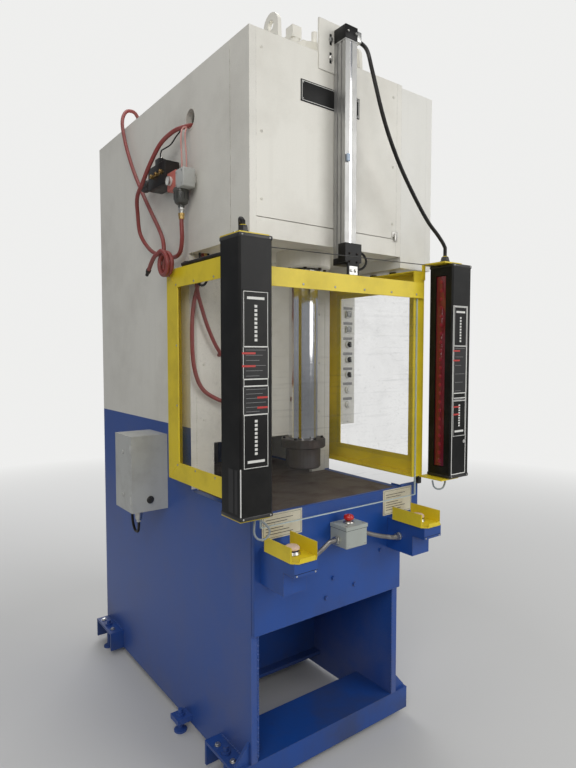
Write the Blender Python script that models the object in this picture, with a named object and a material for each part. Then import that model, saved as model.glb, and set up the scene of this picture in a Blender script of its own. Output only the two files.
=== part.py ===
"""C-frame hydraulic press with a guarded die space.

Metres, +Z up, the floor at z = 0 and the origin under the middle of the machine.
-Y is the operator's side, and left and right are the operator's.
"""
import math

import bmesh
import bpy
from mathutils import Matrix, Vector

# Clearance between faces that meet, and how far a cutter runs past a face.
GAP = 0.0003
PAST = 0.004

# Frame
FRAME_W = 0.750
FRAME_D = 1.500
FRAME_H = 2.700
PLATE_T = 0.028
LEFT = -0.396
FRONT = -0.638
GROUND_GAP = 0.026
BED_TOP = 1.030
HEAD_H = 0.700
HEAD_BOTTOM = FRAME_H - HEAD_H
THROAT = 0.450
PAINT_LINE = 1.290
RIGHT = LEFT + FRAME_W
BACK = FRONT + FRAME_D
MID = (LEFT + RIGHT) / 2
INNER = (LEFT + PLATE_T + GAP, RIGHT - PLATE_T - GAP)
HOSE_HOLE_R = 0.045
HOSE_HOLE = (FRONT + 0.430, FRAME_H - 0.175)
SUPPLY_PORT = (LEFT + 0.090, FRONT + 1.160)
SUPPLY_PORT_H = 0.030
SEAM_Y = FRONT + 0.125
SEAM = 0.003

# Bed and base
BED_PLATE_T = 0.018
BED_PLATE_BOTTOM = BED_TOP - 0.436
BOLSTER_T = 0.075
BOLSTER_D = 0.950
CROSS_Y = FRONT + 0.526
CROSS_T = 0.016
CROSS_BOTTOM = 0.090
CROSS_FLANGE = 0.045
CHANNEL_D = 0.220
CHANNEL_TOP = 0.120
CHANNEL_T = 0.012
CHANNEL_OVERHANG = 0.070
REAR_CHANNEL_Y = FRONT + 1.250
GUSSET_H = 0.080
GUSSET_T = 0.012
SCREW_R = 0.010
PAD_R = 0.028
PAD_H = 0.012
NUT_R = 0.018
NUT_H = 0.016
MIDDLE_FOOT_Y = FRONT + 0.490

# Head
HEAD_PLATE_T = 0.040
HEAD_LIP_H = 0.068
COVER_T = 0.014
TOP_PLATE_T = 0.016
TOP_PLATE_D = 1.280
WALL_T = 0.020
WALL_SEAT = 0.006
WINDOW_TOP = 1.220
WINDOW_SIDE = 0.080
REAR_COVER_T = 0.006
REAR_COVER_BOTTOM = 0.130
LOUVRES = 8
LOUVRE_PITCH = 0.045
LOUVRE_H = 0.014
LOUVRE_W = 0.360
LUG_T = 0.016
LUG_H = 0.140
LUG_R = 0.045

# Cylinder and ram
RAM_Y = FRONT + 0.180
ROD_R = 0.059
BORE_R = 0.080
BARREL_R = 0.100
BARREL_TOP = FRAME_H + 0.085
CAP_T = 0.050
PISTON_H = 0.070
PISTON_BOTTOM = HEAD_BOTTOM + 0.125
SEAL_CLEARANCE = 0.0004
GLAND_R = 0.110
GLAND_H = 0.065
ADAPTER_BOTTOM = BED_TOP + 0.100
ADAPTER_TOP = ADAPTER_BOTTOM + 0.120
ADAPTER_R = 0.092
ADAPTER_FLANGE_H = 0.036
ADAPTER_BODY_R = 0.072

# Power unit
TANK_BOTTOM = 0.130
TANK_H = 0.480
TANK_D = 0.560
TANK_W = 0.560
TANK_REAR_CLEARANCE = 0.074
TANK_Y = BACK - REAR_COVER_T - TANK_REAR_CLEARANCE - TANK_D
MOTOR_R = 0.110
MOTOR_H = 0.300
BELL_H = 0.120
BELL_R = 0.085
COUPLING_R = 0.038
PUMP_R = 0.050
PUMP_H = 0.160
MANIFOLD = (0.140, 0.110, 0.120)

# Control cabinet on the right side plate
CABINET_D = 0.155
CABINET_W = 0.600
CABINET_BOTTOM = HEAD_BOTTOM - 0.045
CABINET_TOP = FRAME_H - 0.010
CABINET_DOOR_D = 0.035
SHEET_T = 0.0025

# Guard door and its cylinder
GUARD_CYL_X = LEFT + 0.4035
GUARD_CYL_W = 0.057
GUARD_CYL_Y = (FRONT - 0.067, FRONT - 0.0043)
GUARD_CYL_BOTTOM = HEAD_BOTTOM - 0.045
GUARD_CYL_TOP = FRAME_H + 0.045
CYL_CAP_H = 0.050
CYL_FOOT_H = 0.025
BRACKET_W = 0.130
BRACKET_TOP = FRAME_H + 0.122
BRACKET_BOTTOM = FRAME_H - 0.060
CARRIAGE_BOTTOM = GUARD_CYL_BOTTOM - 0.020
CARRIAGE_H = 0.070
CARRIAGE_WALL = 0.010
CARRIAGE_CHEEK = 0.022
DOOR_BAR = (CARRIAGE_BOTTOM - 0.112, CARRIAGE_BOTTOM - 0.048)
DOOR_BAR_X = (LEFT - 0.030, RIGHT + 0.044)
DOOR_BAR_T = 0.006
DOOR_Y = FRONT - 0.085
DOOR_PANEL_T = 0.006
DOOR_PANEL_BOTTOM = BED_TOP - 0.023
DOOR_PANEL_X = (LEFT - 0.014, RIGHT + 0.014)
DOOR_PANEL_TOP = DOOR_BAR[0] + 0.027

# Side guards
GUARD_OUT = 0.062
GUARD_T = 0.005
GUARD_Y = (FRONT - 0.078, FRONT + 0.530)
GUARD_Z = (BED_TOP + 0.051, HEAD_BOTTOM - 0.065)
GUARD_BAND = 0.075
GUARD_REAR_BAND = 0.095
GUARD_PANEL_T = 0.005
GUARD_LAP = 0.020

# Light curtains
CURTAIN_X = ((LEFT - 0.167, LEFT - 0.046), (RIGHT + 0.088, RIGHT + 0.209))
CURTAIN_Y = (FRONT - 0.202, FRONT - 0.0835)
CURTAIN_Z = (GUARD_Z[0] + 0.001, GUARD_Z[1] + 0.024)
CURTAIN_WINDOW_D = 0.012
CURTAIN_WINDOW_W = 0.050
CURTAIN_WINDOW_END = 0.045
ARM_T = 0.0055

# Operator's button strip
STRIP_X = (RIGHT + GUARD_OUT + GAP, RIGHT + 0.158)
STRIP_Y = (FRONT + 0.440, FRONT + 0.490)
STRIP_Z = (GUARD_Z[0] + 0.165, GUARD_Z[1] - 0.043)
OPERATOR_R = 0.0155
OPERATOR_PITCH = 0.0745
OPERATOR_TOP = STRIP_Z[1] - 0.103
LAMP_COUNT = 2
SWITCH_COUNT = 3
BUTTON_COUNT = 2
BUTTON_TRAVEL = 0.003
OPERATOR_CLEARANCE = 0.0004

# Palm button stations
PALM_X = (LEFT + 0.020, RIGHT - 0.090)
PALM_W = 0.115
PALM_Y = (FRONT - 0.224, FRONT - 0.054)
PALM_BASE_Z = BED_TOP - 0.117
PALM_WALL_H = 0.052
PALM_CORNER = 0.020
PALM_SHEET_T = 0.004
PALM_LIP_H = 0.012
PALM_BOX_INSET = 0.008
PALM_BOX_TOP_H = 0.046
PALM_BOX_BOTTOM = PALM_BASE_Z - 0.128
PALM_BOX_STEP = 0.060
PALM_COLLAR_R = 0.021
PALM_COLLAR_H = 0.012
PALM_STEM_R = 0.008
PALM_CAP_R = 0.026
PALM_CAP_H = 0.014
PALM_TRAVEL = 0.004
STEM_CLEARANCE = 0.0004

# Emergency stop
STOP_X = (LEFT + 0.352, LEFT + 0.460)
STOP_Y = (FRONT - 0.111, FRONT - BED_PLATE_T - 2 * GAP)
STOP_Z = (BED_TOP - 0.166, BED_TOP - 0.084)
STOP_CAP_R = 0.020
STOP_TRAVEL = 0.005
CONDUIT_R = 0.009
CONNECTOR_R = 0.013
CONNECTOR_OUT = 0.016

# Junction box on the left side plate
JBOX_OUT = 0.166
JBOX_Y = (FRONT + 0.677, FRONT + 0.868)
JBOX_Z = (0.908, 1.240)
JBOX_DOOR_D = 0.012
JBOX_LOCK_R = 0.011

# Air preparation set on the left side plate
AIR_OUT = 0.012
AIR_BLOCK = 0.060
AIR_Y = FRONT + 0.347
AIR_Z = FRAME_H - 0.370
REGULATOR_LEN = 0.083
SEPARATOR_LEN = 0.078
VALVE_LEN = 0.168
KNOB_R = 0.022
KNOB_LEN = 0.075

RED_HOSE_R = 0.0085
BLACK_HOSE_R = 0.0075


# Materials
def paint(name, colour, roughness, metallic=0.0, alpha=1.0):
    """Makes a Principled material of one colour."""
    mat = bpy.data.materials.new(name)
    mat.use_nodes = True
    shader = mat.node_tree.nodes["Principled BSDF"]
    shader.inputs["Base Color"].default_value = (*colour, 1.0)
    shader.inputs["Roughness"].default_value = roughness
    shader.inputs["Metallic"].default_value = metallic
    shader.inputs["Alpha"].default_value = alpha
    mat.diffuse_color = (*colour, alpha)
    return mat


# Shapes
def block(xs, ys, zs):
    """A box between two limits on each axis, as a bmesh."""
    bm = bmesh.new()
    size = Vector((xs[1] - xs[0], ys[1] - ys[0], zs[1] - zs[0]))
    centre = Vector((xs[0] + xs[1], ys[0] + ys[1], zs[0] + zs[1])) / 2
    matrix = Matrix.Translation(centre) @ Matrix.Diagonal((*size, 1.0))
    bmesh.ops.create_cube(bm, size=1.0, matrix=matrix)
    return bm


def slab(outline, axis, start, stop):
    """An outline on two axes, in X, Y, Z order, extruded along the third."""
    order = {"X": (1, 2), "Y": (0, 2), "Z": (0, 1)}[axis]
    along = "XYZ".index(axis)
    bm = bmesh.new()
    verts = []
    for a, b in outline:
        place = [0.0, 0.0, 0.0]
        place[order[0]], place[order[1]], place[along] = a, b, start
        verts.append(bm.verts.new(place))
    face = bm.faces.new(verts)
    grown = bmesh.ops.extrude_face_region(bm, geom=[face])
    moved = [g for g in grown["geom"] if isinstance(g, bmesh.types.BMVert)]
    push = [0.0, 0.0, 0.0]
    push[along] = stop - start
    bmesh.ops.translate(bm, verts=moved, vec=push)
    bmesh.ops.recalc_face_normals(bm, faces=bm.faces)
    return bm


def turned(profile, place, axis="Z", steps=32):
    """A profile of (radius, height) spun round an axis through a place.

    A profile that starts and ends on the axis makes a solid, any other a ring.
    """
    bm = bmesh.new()
    verts = [bm.verts.new((r, 0.0, h)) for r, h in profile]
    edges = [bm.edges.new(pair) for pair in zip(verts, verts[1:])]
    if profile[0][0] > 0:
        edges.append(bm.edges.new((verts[-1], verts[0])))
    bmesh.ops.spin(bm, geom=verts + edges, cent=(0, 0, 0), axis=(0, 0, 1), dvec=(0, 0, 0),
                   angle=2 * math.pi, steps=steps, use_merge=True, use_duplicate=False)
    bmesh.ops.remove_doubles(bm, verts=bm.verts, dist=1e-6)
    bmesh.ops.recalc_face_normals(bm, faces=bm.faces)
    turn = {"Z": Matrix.Identity(4), "X": Matrix.Rotation(math.pi / 2, 4, "Y"),
            "Y": Matrix.Rotation(-math.pi / 2, 4, "X")}[axis]
    bmesh.ops.transform(bm, matrix=Matrix.Translation(place) @ turn, verts=bm.verts)
    return bm


def rod(radius, start, stop, place, axis="Z", steps=24):
    """A plain round bar along an axis, between two distances from a place."""
    return turned([(0, start), (radius, start), (radius, stop), (0, stop)], place, axis, steps)


def arc(centre, radius, start, stop, steps):
    """Points on an arc, with angles in degrees."""
    angles = [math.radians(start + (stop - start) * i / steps) for i in range(steps + 1)]
    return [(centre[0] + radius * math.cos(a), centre[1] + radius * math.sin(a)) for a in angles]


def piece(name, bm, mat, origin=(0.0, 0.0, 0.0), smooth=False, bevel=0.0, segments=1):
    """Makes a named object of a bmesh, with its origin where a joint needs it."""
    bmesh.ops.translate(bm, verts=bm.verts, vec=-Vector(origin))
    mesh = bpy.data.meshes.new(name)
    bm.to_mesh(mesh)
    bm.free()
    mesh.materials.append(mat)
    if smooth:
        mesh.shade_smooth()
        mesh.set_sharp_from_angle(angle=math.radians(35))
    obj = bpy.data.objects.new(name, mesh)
    bpy.context.scene.collection.objects.link(obj)
    obj.location = origin
    if bevel:
        mod = obj.modifiers.new("edges", "BEVEL")
        mod.width = bevel
        mod.segments = segments
        mod.limit_method = "ANGLE"
    return obj


def boolean(target, bm, operation):
    """Cuts or joins a piece with a bmesh, kept as a hidden guide."""
    name = f"{target.name}_{operation.lower()}_{len(target.modifiers)}"
    guide = piece(name, bm, target.data.materials[0])
    guide.hide_render = True
    guide.display_type = "WIRE"
    mod = target.modifiers.new(name, "BOOLEAN")
    mod.operation = operation
    mod.solver = "EXACT"
    mod.object = guide


def cut(target, *shapes):
    """Takes shapes out of a piece."""
    for bm in shapes:
        boolean(target, bm, "DIFFERENCE")


def join(target, *shapes):
    """Welds shapes that overlap a piece to it."""
    for bm in shapes:
        boolean(target, bm, "UNION")


def together(shapes):
    """One bmesh of several shapes that stand apart."""
    whole = bmesh.new()
    for bm in shapes:
        mesh = bpy.data.meshes.new("shape")
        bm.to_mesh(mesh)
        bm.free()
        whole.from_mesh(mesh)
        bpy.data.meshes.remove(mesh)
    return whole


def folded(xs, ys, zs, open_side, thickness):
    """A sheet-metal tray: a box that is open on one side, with walls inwards."""
    bm = block(xs, ys, zs)
    axis, sign = "XYZ".index(open_side[1]), 1 if open_side[0] == "+" else -1
    bm.faces.ensure_lookup_table()
    lid = [f for f in bm.faces if f.normal[axis] * sign > 0.9]
    bmesh.ops.delete(bm, geom=lid, context="FACES")
    bmesh.ops.solidify(bm, geom=bm.faces, thickness=thickness)
    bmesh.ops.recalc_face_normals(bm, faces=bm.faces)
    return bm


def smooth_route(points, spacing):
    """Points along a smooth curve through a route, a given distance apart, with straight ends."""
    knots = [Vector(p) for p in points]
    kept = [knots[0], knots[1]]
    for a, b, c, d in zip(knots, knots[1:], knots[2:], knots[3:]):
        for i in range(20):
            t = i / 20
            p = 0.5 * (2 * b + (c - a) * t + (2 * a - 5 * b + 4 * c - d) * t ** 2
                       + (3 * b - a - 3 * c + d) * t ** 3)
            if min((p - kept[-1]).length, (p - knots[-2]).length) >= spacing:
                kept.append(p)
    return kept + [knots[-2], knots[-1]]


def tube(name, points, radius, mat, spacing=2.6):
    """A cord's plain round tube along a smooth route."""
    route = smooth_route(points, spacing * 2 * radius)
    curve = bpy.data.curves.new(name, "CURVE")
    curve.dimensions = "3D"
    curve.bevel_depth = radius
    curve.bevel_resolution = 2
    curve.use_fill_caps = True
    spline = curve.splines.new("POLY")
    spline.points.add(len(route) - 1)
    for point, place in zip(spline.points, route):
        point.co = (*place, 1.0)
    curve.materials.append(mat)
    obj = bpy.data.objects.new(name, curve)
    bpy.context.scene.collection.objects.link(obj)
    return obj


# Welded frame
def levelling_screw(x, y, top):
    """A screw with its pad on the floor and its nut under a plate."""
    return turned([(0, 0), (PAD_R, 0), (PAD_R, PAD_H * 0.6), (SCREW_R, PAD_H), (SCREW_R, top + NUT_H / 4),
                   (NUT_R, top + NUT_H / 4), (NUT_R, top + NUT_H), (SCREW_R, top + NUT_H),
                   (SCREW_R, top + 2 * NUT_H), (0, top + 2 * NUT_H)], (x, y, 0), steps=12)


def side_plate(name, x0, outward, paint_top, paint_low):
    """One C-shaped side plate, painted in two colours, with its middle foot welded on."""
    z_foot = CHANNEL_TOP + GAP
    outline = [(FRONT, z_foot), (FRONT + CHANNEL_D + GAP, z_foot), (FRONT + CHANNEL_D + GAP, GROUND_GAP),
               (REAR_CHANNEL_Y - GAP, GROUND_GAP), (REAR_CHANNEL_Y - GAP, z_foot),
               (REAR_CHANNEL_Y + CHANNEL_D + GAP, z_foot), (REAR_CHANNEL_Y + CHANNEL_D + GAP, GROUND_GAP),
               (BACK, GROUND_GAP), (BACK, FRAME_H), (FRONT, FRAME_H), (FRONT, HEAD_BOTTOM),
               (FRONT + THROAT, HEAD_BOTTOM), (FRONT + THROAT, BED_TOP), (FRONT, BED_TOP)]
    bm = slab(outline, "X", x0, x0 + PLATE_T)
    bmesh.ops.bisect_plane(bm, geom=bm.verts[:] + bm.edges[:] + bm.faces[:],
                           plane_co=(0, 0, PAINT_LINE), plane_no=(0, 0, 1))
    for face in bm.faces:
        face.material_index = int(face.calc_center_median().z < PAINT_LINE)
    plate = piece(name, bm, paint_top)
    plate.data.materials.append(paint_low)
    face_x = x0 if outward < 0 else x0 + PLATE_T
    ends = sorted((face_x - outward * PAST, face_x + outward * CHANNEL_OVERHANG))
    foot = block(ends, (MIDDLE_FOOT_Y - 0.035, MIDDLE_FOOT_Y + 0.035),
                 (GROUND_GAP + 0.020, GROUND_GAP + 0.040))
    stem_x = face_x + outward * CHANNEL_OVERHANG * 0.58
    join(plate, foot, levelling_screw(stem_x, MIDDLE_FOOT_Y, GROUND_GAP + 0.036))
    return plate


def base_channel(name, y0, gussets, mat):
    """A channel across the machine, web up, with a levelling screw in each end."""
    y1, t, top = y0 + CHANNEL_D, CHANNEL_T, CHANNEL_TOP
    outline = [(y0, GROUND_GAP), (y0 + t, GROUND_GAP), (y0 + t, top - t), (y1 - t, top - t),
               (y1 - t, GROUND_GAP), (y1, GROUND_GAP), (y1, top), (y0, top)]
    x0, x1 = LEFT - CHANNEL_OVERHANG, RIGHT + CHANNEL_OVERHANG
    channel = piece(name, slab(outline, "X", x0, x1), mat)
    reach = CHANNEL_OVERHANG - GAP
    for x, outward in ((LEFT, -1), (RIGHT, 1)):
        join(channel, levelling_screw(x + outward * reach * 0.6, y0 + CHANNEL_D / 2, top - t / 2))
        if gussets:
            foot = x + outward * GAP
            ends = [(foot, top - t / 2), (foot + outward * reach * 0.9, top - t / 2),
                    (foot + outward * reach * 0.9, top + 0.008), (foot, top + GUSSET_H)]
            join(channel, slab(ends, "Y", y0 + t, y0 + t + GUSSET_T))
    return channel


def frame(white, blue, steel):
    """The welded C-frame with its bed, base and bolster."""
    left = side_plate("side_plate_left", LEFT, -1, white, blue)
    cut(left, rod(HOSE_HOLE_R, -PAST, PLATE_T + PAST, (LEFT, *HOSE_HOLE), "X"))
    right = side_plate("side_plate_right", RIGHT - PLATE_T, 1, white, blue)
    for plate, face in ((left, LEFT), (right, RIGHT)):
        cut(plate, block((face - SEAM, face + SEAM), (SEAM_Y - SEAM / 2, SEAM_Y + SEAM / 2),
                         (HEAD_BOTTOM - PAST, FRAME_H + PAST)))
    base_channel("base_front_channel", FRONT, True, blue)
    base_channel("base_rear_channel", REAR_CHANNEL_Y, False, blue)
    piece("bed_front_plate", block((LEFT, RIGHT), (FRONT - GAP - BED_PLATE_T, FRONT - GAP),
                                   (BED_PLATE_BOTTOM, BED_TOP)), blue, bevel=0.003)
    cross_top = BED_TOP - BOLSTER_T - GAP
    outline = [(CROSS_Y - CROSS_FLANGE, CROSS_BOTTOM), (CROSS_Y + CROSS_T, CROSS_BOTTOM),
               (CROSS_Y + CROSS_T, cross_top), (CROSS_Y, cross_top),
               (CROSS_Y, CROSS_BOTTOM + CROSS_T), (CROSS_Y - CROSS_FLANGE, CROSS_BOTTOM + CROSS_T)]
    piece("bed_cross_plate", slab(outline, "X", *INNER), blue)
    bolster = piece("bolster", block(INNER, (FRONT + GAP, FRONT + BOLSTER_D), (BED_TOP - BOLSTER_T, BED_TOP)),
                    steel, bevel=0.002)
    cut(bolster, block((LEFT - PAST, RIGHT + PAST), (FRONT + THROAT - GAP, FRONT + BOLSTER_D + PAST),
                       (BED_TOP - WALL_SEAT, BED_TOP + PAST)))


def head(white):
    """The head's plates and covers, and the throat's rear wall."""
    y0 = FRONT + COVER_T + 2 * GAP
    z0, z1 = HEAD_BOTTOM, HEAD_BOTTOM + HEAD_PLATE_T
    lip = [(FRONT + GAP, z0), (FRONT + BOLSTER_D, z0), (FRONT + BOLSTER_D, z1), (y0 + PAST, z1),
           (y0 + PAST, z0 + HEAD_LIP_H), (FRONT + GAP, z0 + HEAD_LIP_H)]
    plate = piece("head_bottom_plate", slab(lip, "X", *INNER), white)
    cut(plate, rod(BORE_R, -PAST, HEAD_PLATE_T + PAST, (MID, RAM_Y, HEAD_BOTTOM), steps=32))
    top = FRAME_H - TOP_PLATE_T
    cover_z = (z0 + HEAD_LIP_H + 0.003, FRAME_H)
    cover = piece("head_front_cover", block(INNER, (FRONT + GAP, FRONT + COVER_T), cover_z), white)
    x1 = GUARD_CYL_X + GUARD_CYL_W / 2
    join(cover, block((x1 - BRACKET_W, x1), (GUARD_CYL_Y[1] + GAP, FRONT + PAST),
                      (BRACKET_BOTTOM, BRACKET_TOP)))
    lid = piece("head_top_plate", block(INNER, (FRONT + COVER_T + GAP, FRONT + TOP_PLATE_D), (top, FRAME_H)),
                white)
    cut(lid, rod(BARREL_R + 0.004, -PAST, TOP_PLATE_T + PAST, (MID, RAM_Y, top)))
    for x in (LEFT + 0.165, RIGHT - 0.165 - LUG_T):
        ear = [(FRONT + 0.060, FRAME_H - PAST), (FRONT + 0.160, FRAME_H - PAST)]
        ear += arc((FRONT + 0.110, FRAME_H + LUG_H - LUG_R), LUG_R, 0, 180, 10)
        join(lid, slab(ear, "X", x, x + LUG_T))
        cut(lid, rod(0.018, -PAST, LUG_T + PAST, (x, FRONT + 0.110, FRAME_H + LUG_H - LUG_R), "X", 16))
    join(lid, rod(0.014, -PAST, SUPPLY_PORT_H, (*SUPPLY_PORT, FRAME_H), steps=16))
    x0, x1, gap_z = INNER[0], INNER[1], BED_TOP - WALL_SEAT + GAP
    inner = (x0 + WINDOW_SIDE, x1 - WINDOW_SIDE)
    outline = [(x0, gap_z), (inner[0], gap_z), (inner[0], WINDOW_TOP), (inner[1], WINDOW_TOP),
               (inner[1], gap_z), (x1, gap_z), (x1, HEAD_BOTTOM - GAP), (x0, HEAD_BOTTOM - GAP)]
    piece("throat_rear_wall", slab(outline, "Y", FRONT + THROAT, FRONT + THROAT + WALL_T), white)
    rear = piece("rear_cover", block(INNER, (BACK - REAR_COVER_T, BACK),
                                     (REAR_COVER_BOTTOM, FRAME_H)), white)
    for i in range(LOUVRES):
        z = FRAME_H - 0.300 - i * LOUVRE_PITCH
        cut(rear, block((MID - LOUVRE_W / 2, MID + LOUVRE_W / 2), (BACK - REAR_COVER_T - PAST, BACK + PAST),
                        (z, z + LOUVRE_H)))


# Hydraulics
def hydraulics(white, blue, chrome, dark, steel):
    """The main cylinder with its ram, and the power unit behind it."""
    low = HEAD_BOTTOM + HEAD_PLATE_T + GAP
    barrel = [(0, BARREL_TOP - CAP_T), (BORE_R, BARREL_TOP - CAP_T), (BORE_R, low), (BARREL_R, low),
              (BARREL_R, BARREL_TOP), (0, BARREL_TOP)]
    cylinder = piece("cylinder_barrel", turned(barrel, (MID, RAM_Y, 0)), white, smooth=True)
    port = rod(0.022, BARREL_TOP - 0.010, BARREL_TOP + 0.050, (MID - 0.050, RAM_Y, 0), steps=16)
    elbow = block((MID - 0.072, MID - 0.028), (RAM_Y - 0.022, RAM_Y + 0.022),
                  (BARREL_TOP + 0.040, BARREL_TOP + 0.085))
    stud = rod(0.012, BARREL_TOP - 0.010, BARREL_TOP + 0.080, (MID + 0.030, RAM_Y - 0.030, 0), steps=12)
    pipe = rod(0.011, 0.0, 0.420, (MID - 0.050, RAM_Y + 0.010, BARREL_TOP + 0.062), "Y", 12)
    join(cylinder, port, elbow, stud, pipe)
    bore = ROD_R + SEAL_CLEARANCE
    z = HEAD_BOTTOM - GAP
    gland = [(bore, z - GLAND_H), (GLAND_R - 0.006, z - GLAND_H), (GLAND_R, z - GLAND_H + 0.006),
             (GLAND_R, z),
             (BORE_R - GAP, z), (BORE_R - GAP, low), (bore, low)]
    piece("cylinder_gland", turned(gland, (MID, RAM_Y, 0)), white, smooth=True)
    ram_place = (MID, RAM_Y, HEAD_BOTTOM)
    top = PISTON_BOTTOM + PISTON_H
    fit = BORE_R - SEAL_CLEARANCE
    ram = [(0, ADAPTER_TOP + GAP), (ROD_R, ADAPTER_TOP + GAP), (ROD_R, PISTON_BOTTOM), (fit, PISTON_BOTTOM),
           (fit, PISTON_BOTTOM + 0.020), (fit - 0.004, PISTON_BOTTOM + 0.020), (fit - 0.004, top - 0.020),
           (fit, top - 0.020), (fit, top), (0, top)]
    piece("ram_rod", turned(ram, (MID, RAM_Y, 0)), chrome, ram_place, smooth=True)
    step = ADAPTER_TOP - ADAPTER_FLANGE_H
    nose = [(0, ADAPTER_BOTTOM), (ADAPTER_BODY_R - 0.005, ADAPTER_BOTTOM),
            (ADAPTER_BODY_R, ADAPTER_BOTTOM + 0.005),
            (ADAPTER_BODY_R, step), (ADAPTER_R - 0.004, step), (ADAPTER_R, step + 0.004),
            (ADAPTER_R, ADAPTER_TOP - 0.004), (ADAPTER_R - 0.004, ADAPTER_TOP), (0, ADAPTER_TOP)]
    piece("tool_adapter", turned(nose, (MID, RAM_Y, 0)), dark, ram_place, smooth=True)
    power_unit(blue, dark, steel)


def power_unit(blue, dark, steel):
    """The oil tank with its pump, bell housing and motor on top, and the valve manifold."""
    lid = TANK_BOTTOM + TANK_H
    xs, ys = (MID - TANK_W / 2, MID + TANK_W / 2), (TANK_Y, TANK_Y + TANK_D)
    tank = piece("oil_tank", block(xs, ys, (TANK_BOTTOM, lid)), blue)
    cut(tank, block((xs[0] + 0.006, xs[1] - 0.006), (ys[0] + 0.006, ys[1] - 0.006),
                    (TANK_BOTTOM + 0.006, lid - 0.010)))
    centre = (MID, TANK_Y + TANK_D * 0.62)
    cut(tank, rod(PUMP_R + 0.006, lid - 0.030, lid + PAST, (*centre, 0)))
    feet = [block((x, x + 0.050), (REAR_CHANNEL_Y + 0.030, ys[1]), (CHANNEL_TOP + GAP, TANK_BOTTOM + 0.002))
            for x in (xs[0], xs[1] - 0.050)]
    front_feet = [block((x, x + 0.050), (CROSS_Y + CROSS_T + GAP, ys[0] + 0.050),
                        (TANK_BOTTOM - 0.020, TANK_BOTTOM + 0.002))
                  for x in (xs[0], xs[1] - 0.050)]
    breather = turned([(0, lid - 0.008), (0.022, lid - 0.008), (0.022, lid + 0.030), (0.036, lid + 0.030),
                       (0.036, lid + 0.070), (0.030, lid + 0.078), (0, lid + 0.078)],
                      (xs[0] + 0.080, ys[0] + 0.090, 0), steps=20)
    join(tank, *feet, *front_feet, breather)
    bell_top = lid + GAP + BELL_H
    shell = BELL_R - 0.012
    bell = [(0, bell_top), (shell, bell_top), (shell, lid + GAP), (BELL_R + 0.018, lid + GAP),
            (BELL_R + 0.018, lid + 0.012), (BELL_R, lid + 0.012), (BELL_R, bell_top),
            (MOTOR_R, bell_top + 0.014), (MOTOR_R, bell_top + MOTOR_H),
            (MOTOR_R - 0.014, bell_top + MOTOR_H + 0.045), (0, bell_top + MOTOR_H + 0.045)]
    motor = piece("pump_motor", turned(bell, (*centre, 0)), blue, smooth=True)
    for turn in (0, math.pi / 2):
        window = block((-0.030, 0.030), (-BELL_R - 0.030, BELL_R + 0.030), (lid + 0.030, bell_top - 0.022))
        bmesh.ops.rotate(window, verts=window.verts, cent=(0, 0, 0), matrix=Matrix.Rotation(turn, 3, "Z"))
        bmesh.ops.translate(window, verts=window.verts, vec=(*centre, 0))
        cut(motor, window)
    join(motor, block((centre[0] + MOTOR_R - 0.020, centre[0] + MOTOR_R + 0.055),
                      (centre[1] - 0.050, centre[1] + 0.050),
                      (bell_top + 0.090, bell_top + 0.190)))
    flange = lid + GAP
    pump = [(0, lid - PUMP_H), (PUMP_R - 0.008, lid - PUMP_H), (PUMP_R, lid - PUMP_H + 0.020),
            (PUMP_R, flange),
            (PUMP_R + 0.016, flange), (PUMP_R + 0.016, flange + 0.010), (0.012, flange + 0.010),
            (0.012, flange + 0.030), (0, flange + 0.030)]
    piece("hydraulic_pump", turned(pump, (*centre, 0), steps=24), dark, smooth=True)
    low, high = flange + 0.030 + GAP, bell_top - GAP
    hub = [(0, low), (COUPLING_R, low), (COUPLING_R, low + 0.032), (COUPLING_R - 0.008, low + 0.034),
           (COUPLING_R - 0.008, low + 0.046), (COUPLING_R, low + 0.048), (COUPLING_R, high), (0, high)]
    piece("pump_coupling", turned(hub, (*centre, 0), steps=20), steel, (*centre, low), smooth=True)
    x0, y0 = xs[0] + 0.020, ys[1] - 0.020 - MANIFOLD[1]
    manifold = piece("valve_manifold", block((x0, x0 + MANIFOLD[0]), (y0, y0 + MANIFOLD[1]),
                                             (lid + GAP, lid + GAP + MANIFOLD[2])), dark, bevel=0.003)
    z = lid + MANIFOLD[2]
    coils = rod(0.024, 0.0, MANIFOLD[0] + 0.120, (x0 - 0.030, y0 + 0.055, z + 0.045), "X", 16)
    join(manifold, block((x0 + 0.030, x0 + MANIFOLD[0] - 0.030), (y0 + 0.025, y0 + 0.085),
                         (z - PAST, z + 0.080)), coils)


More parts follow.
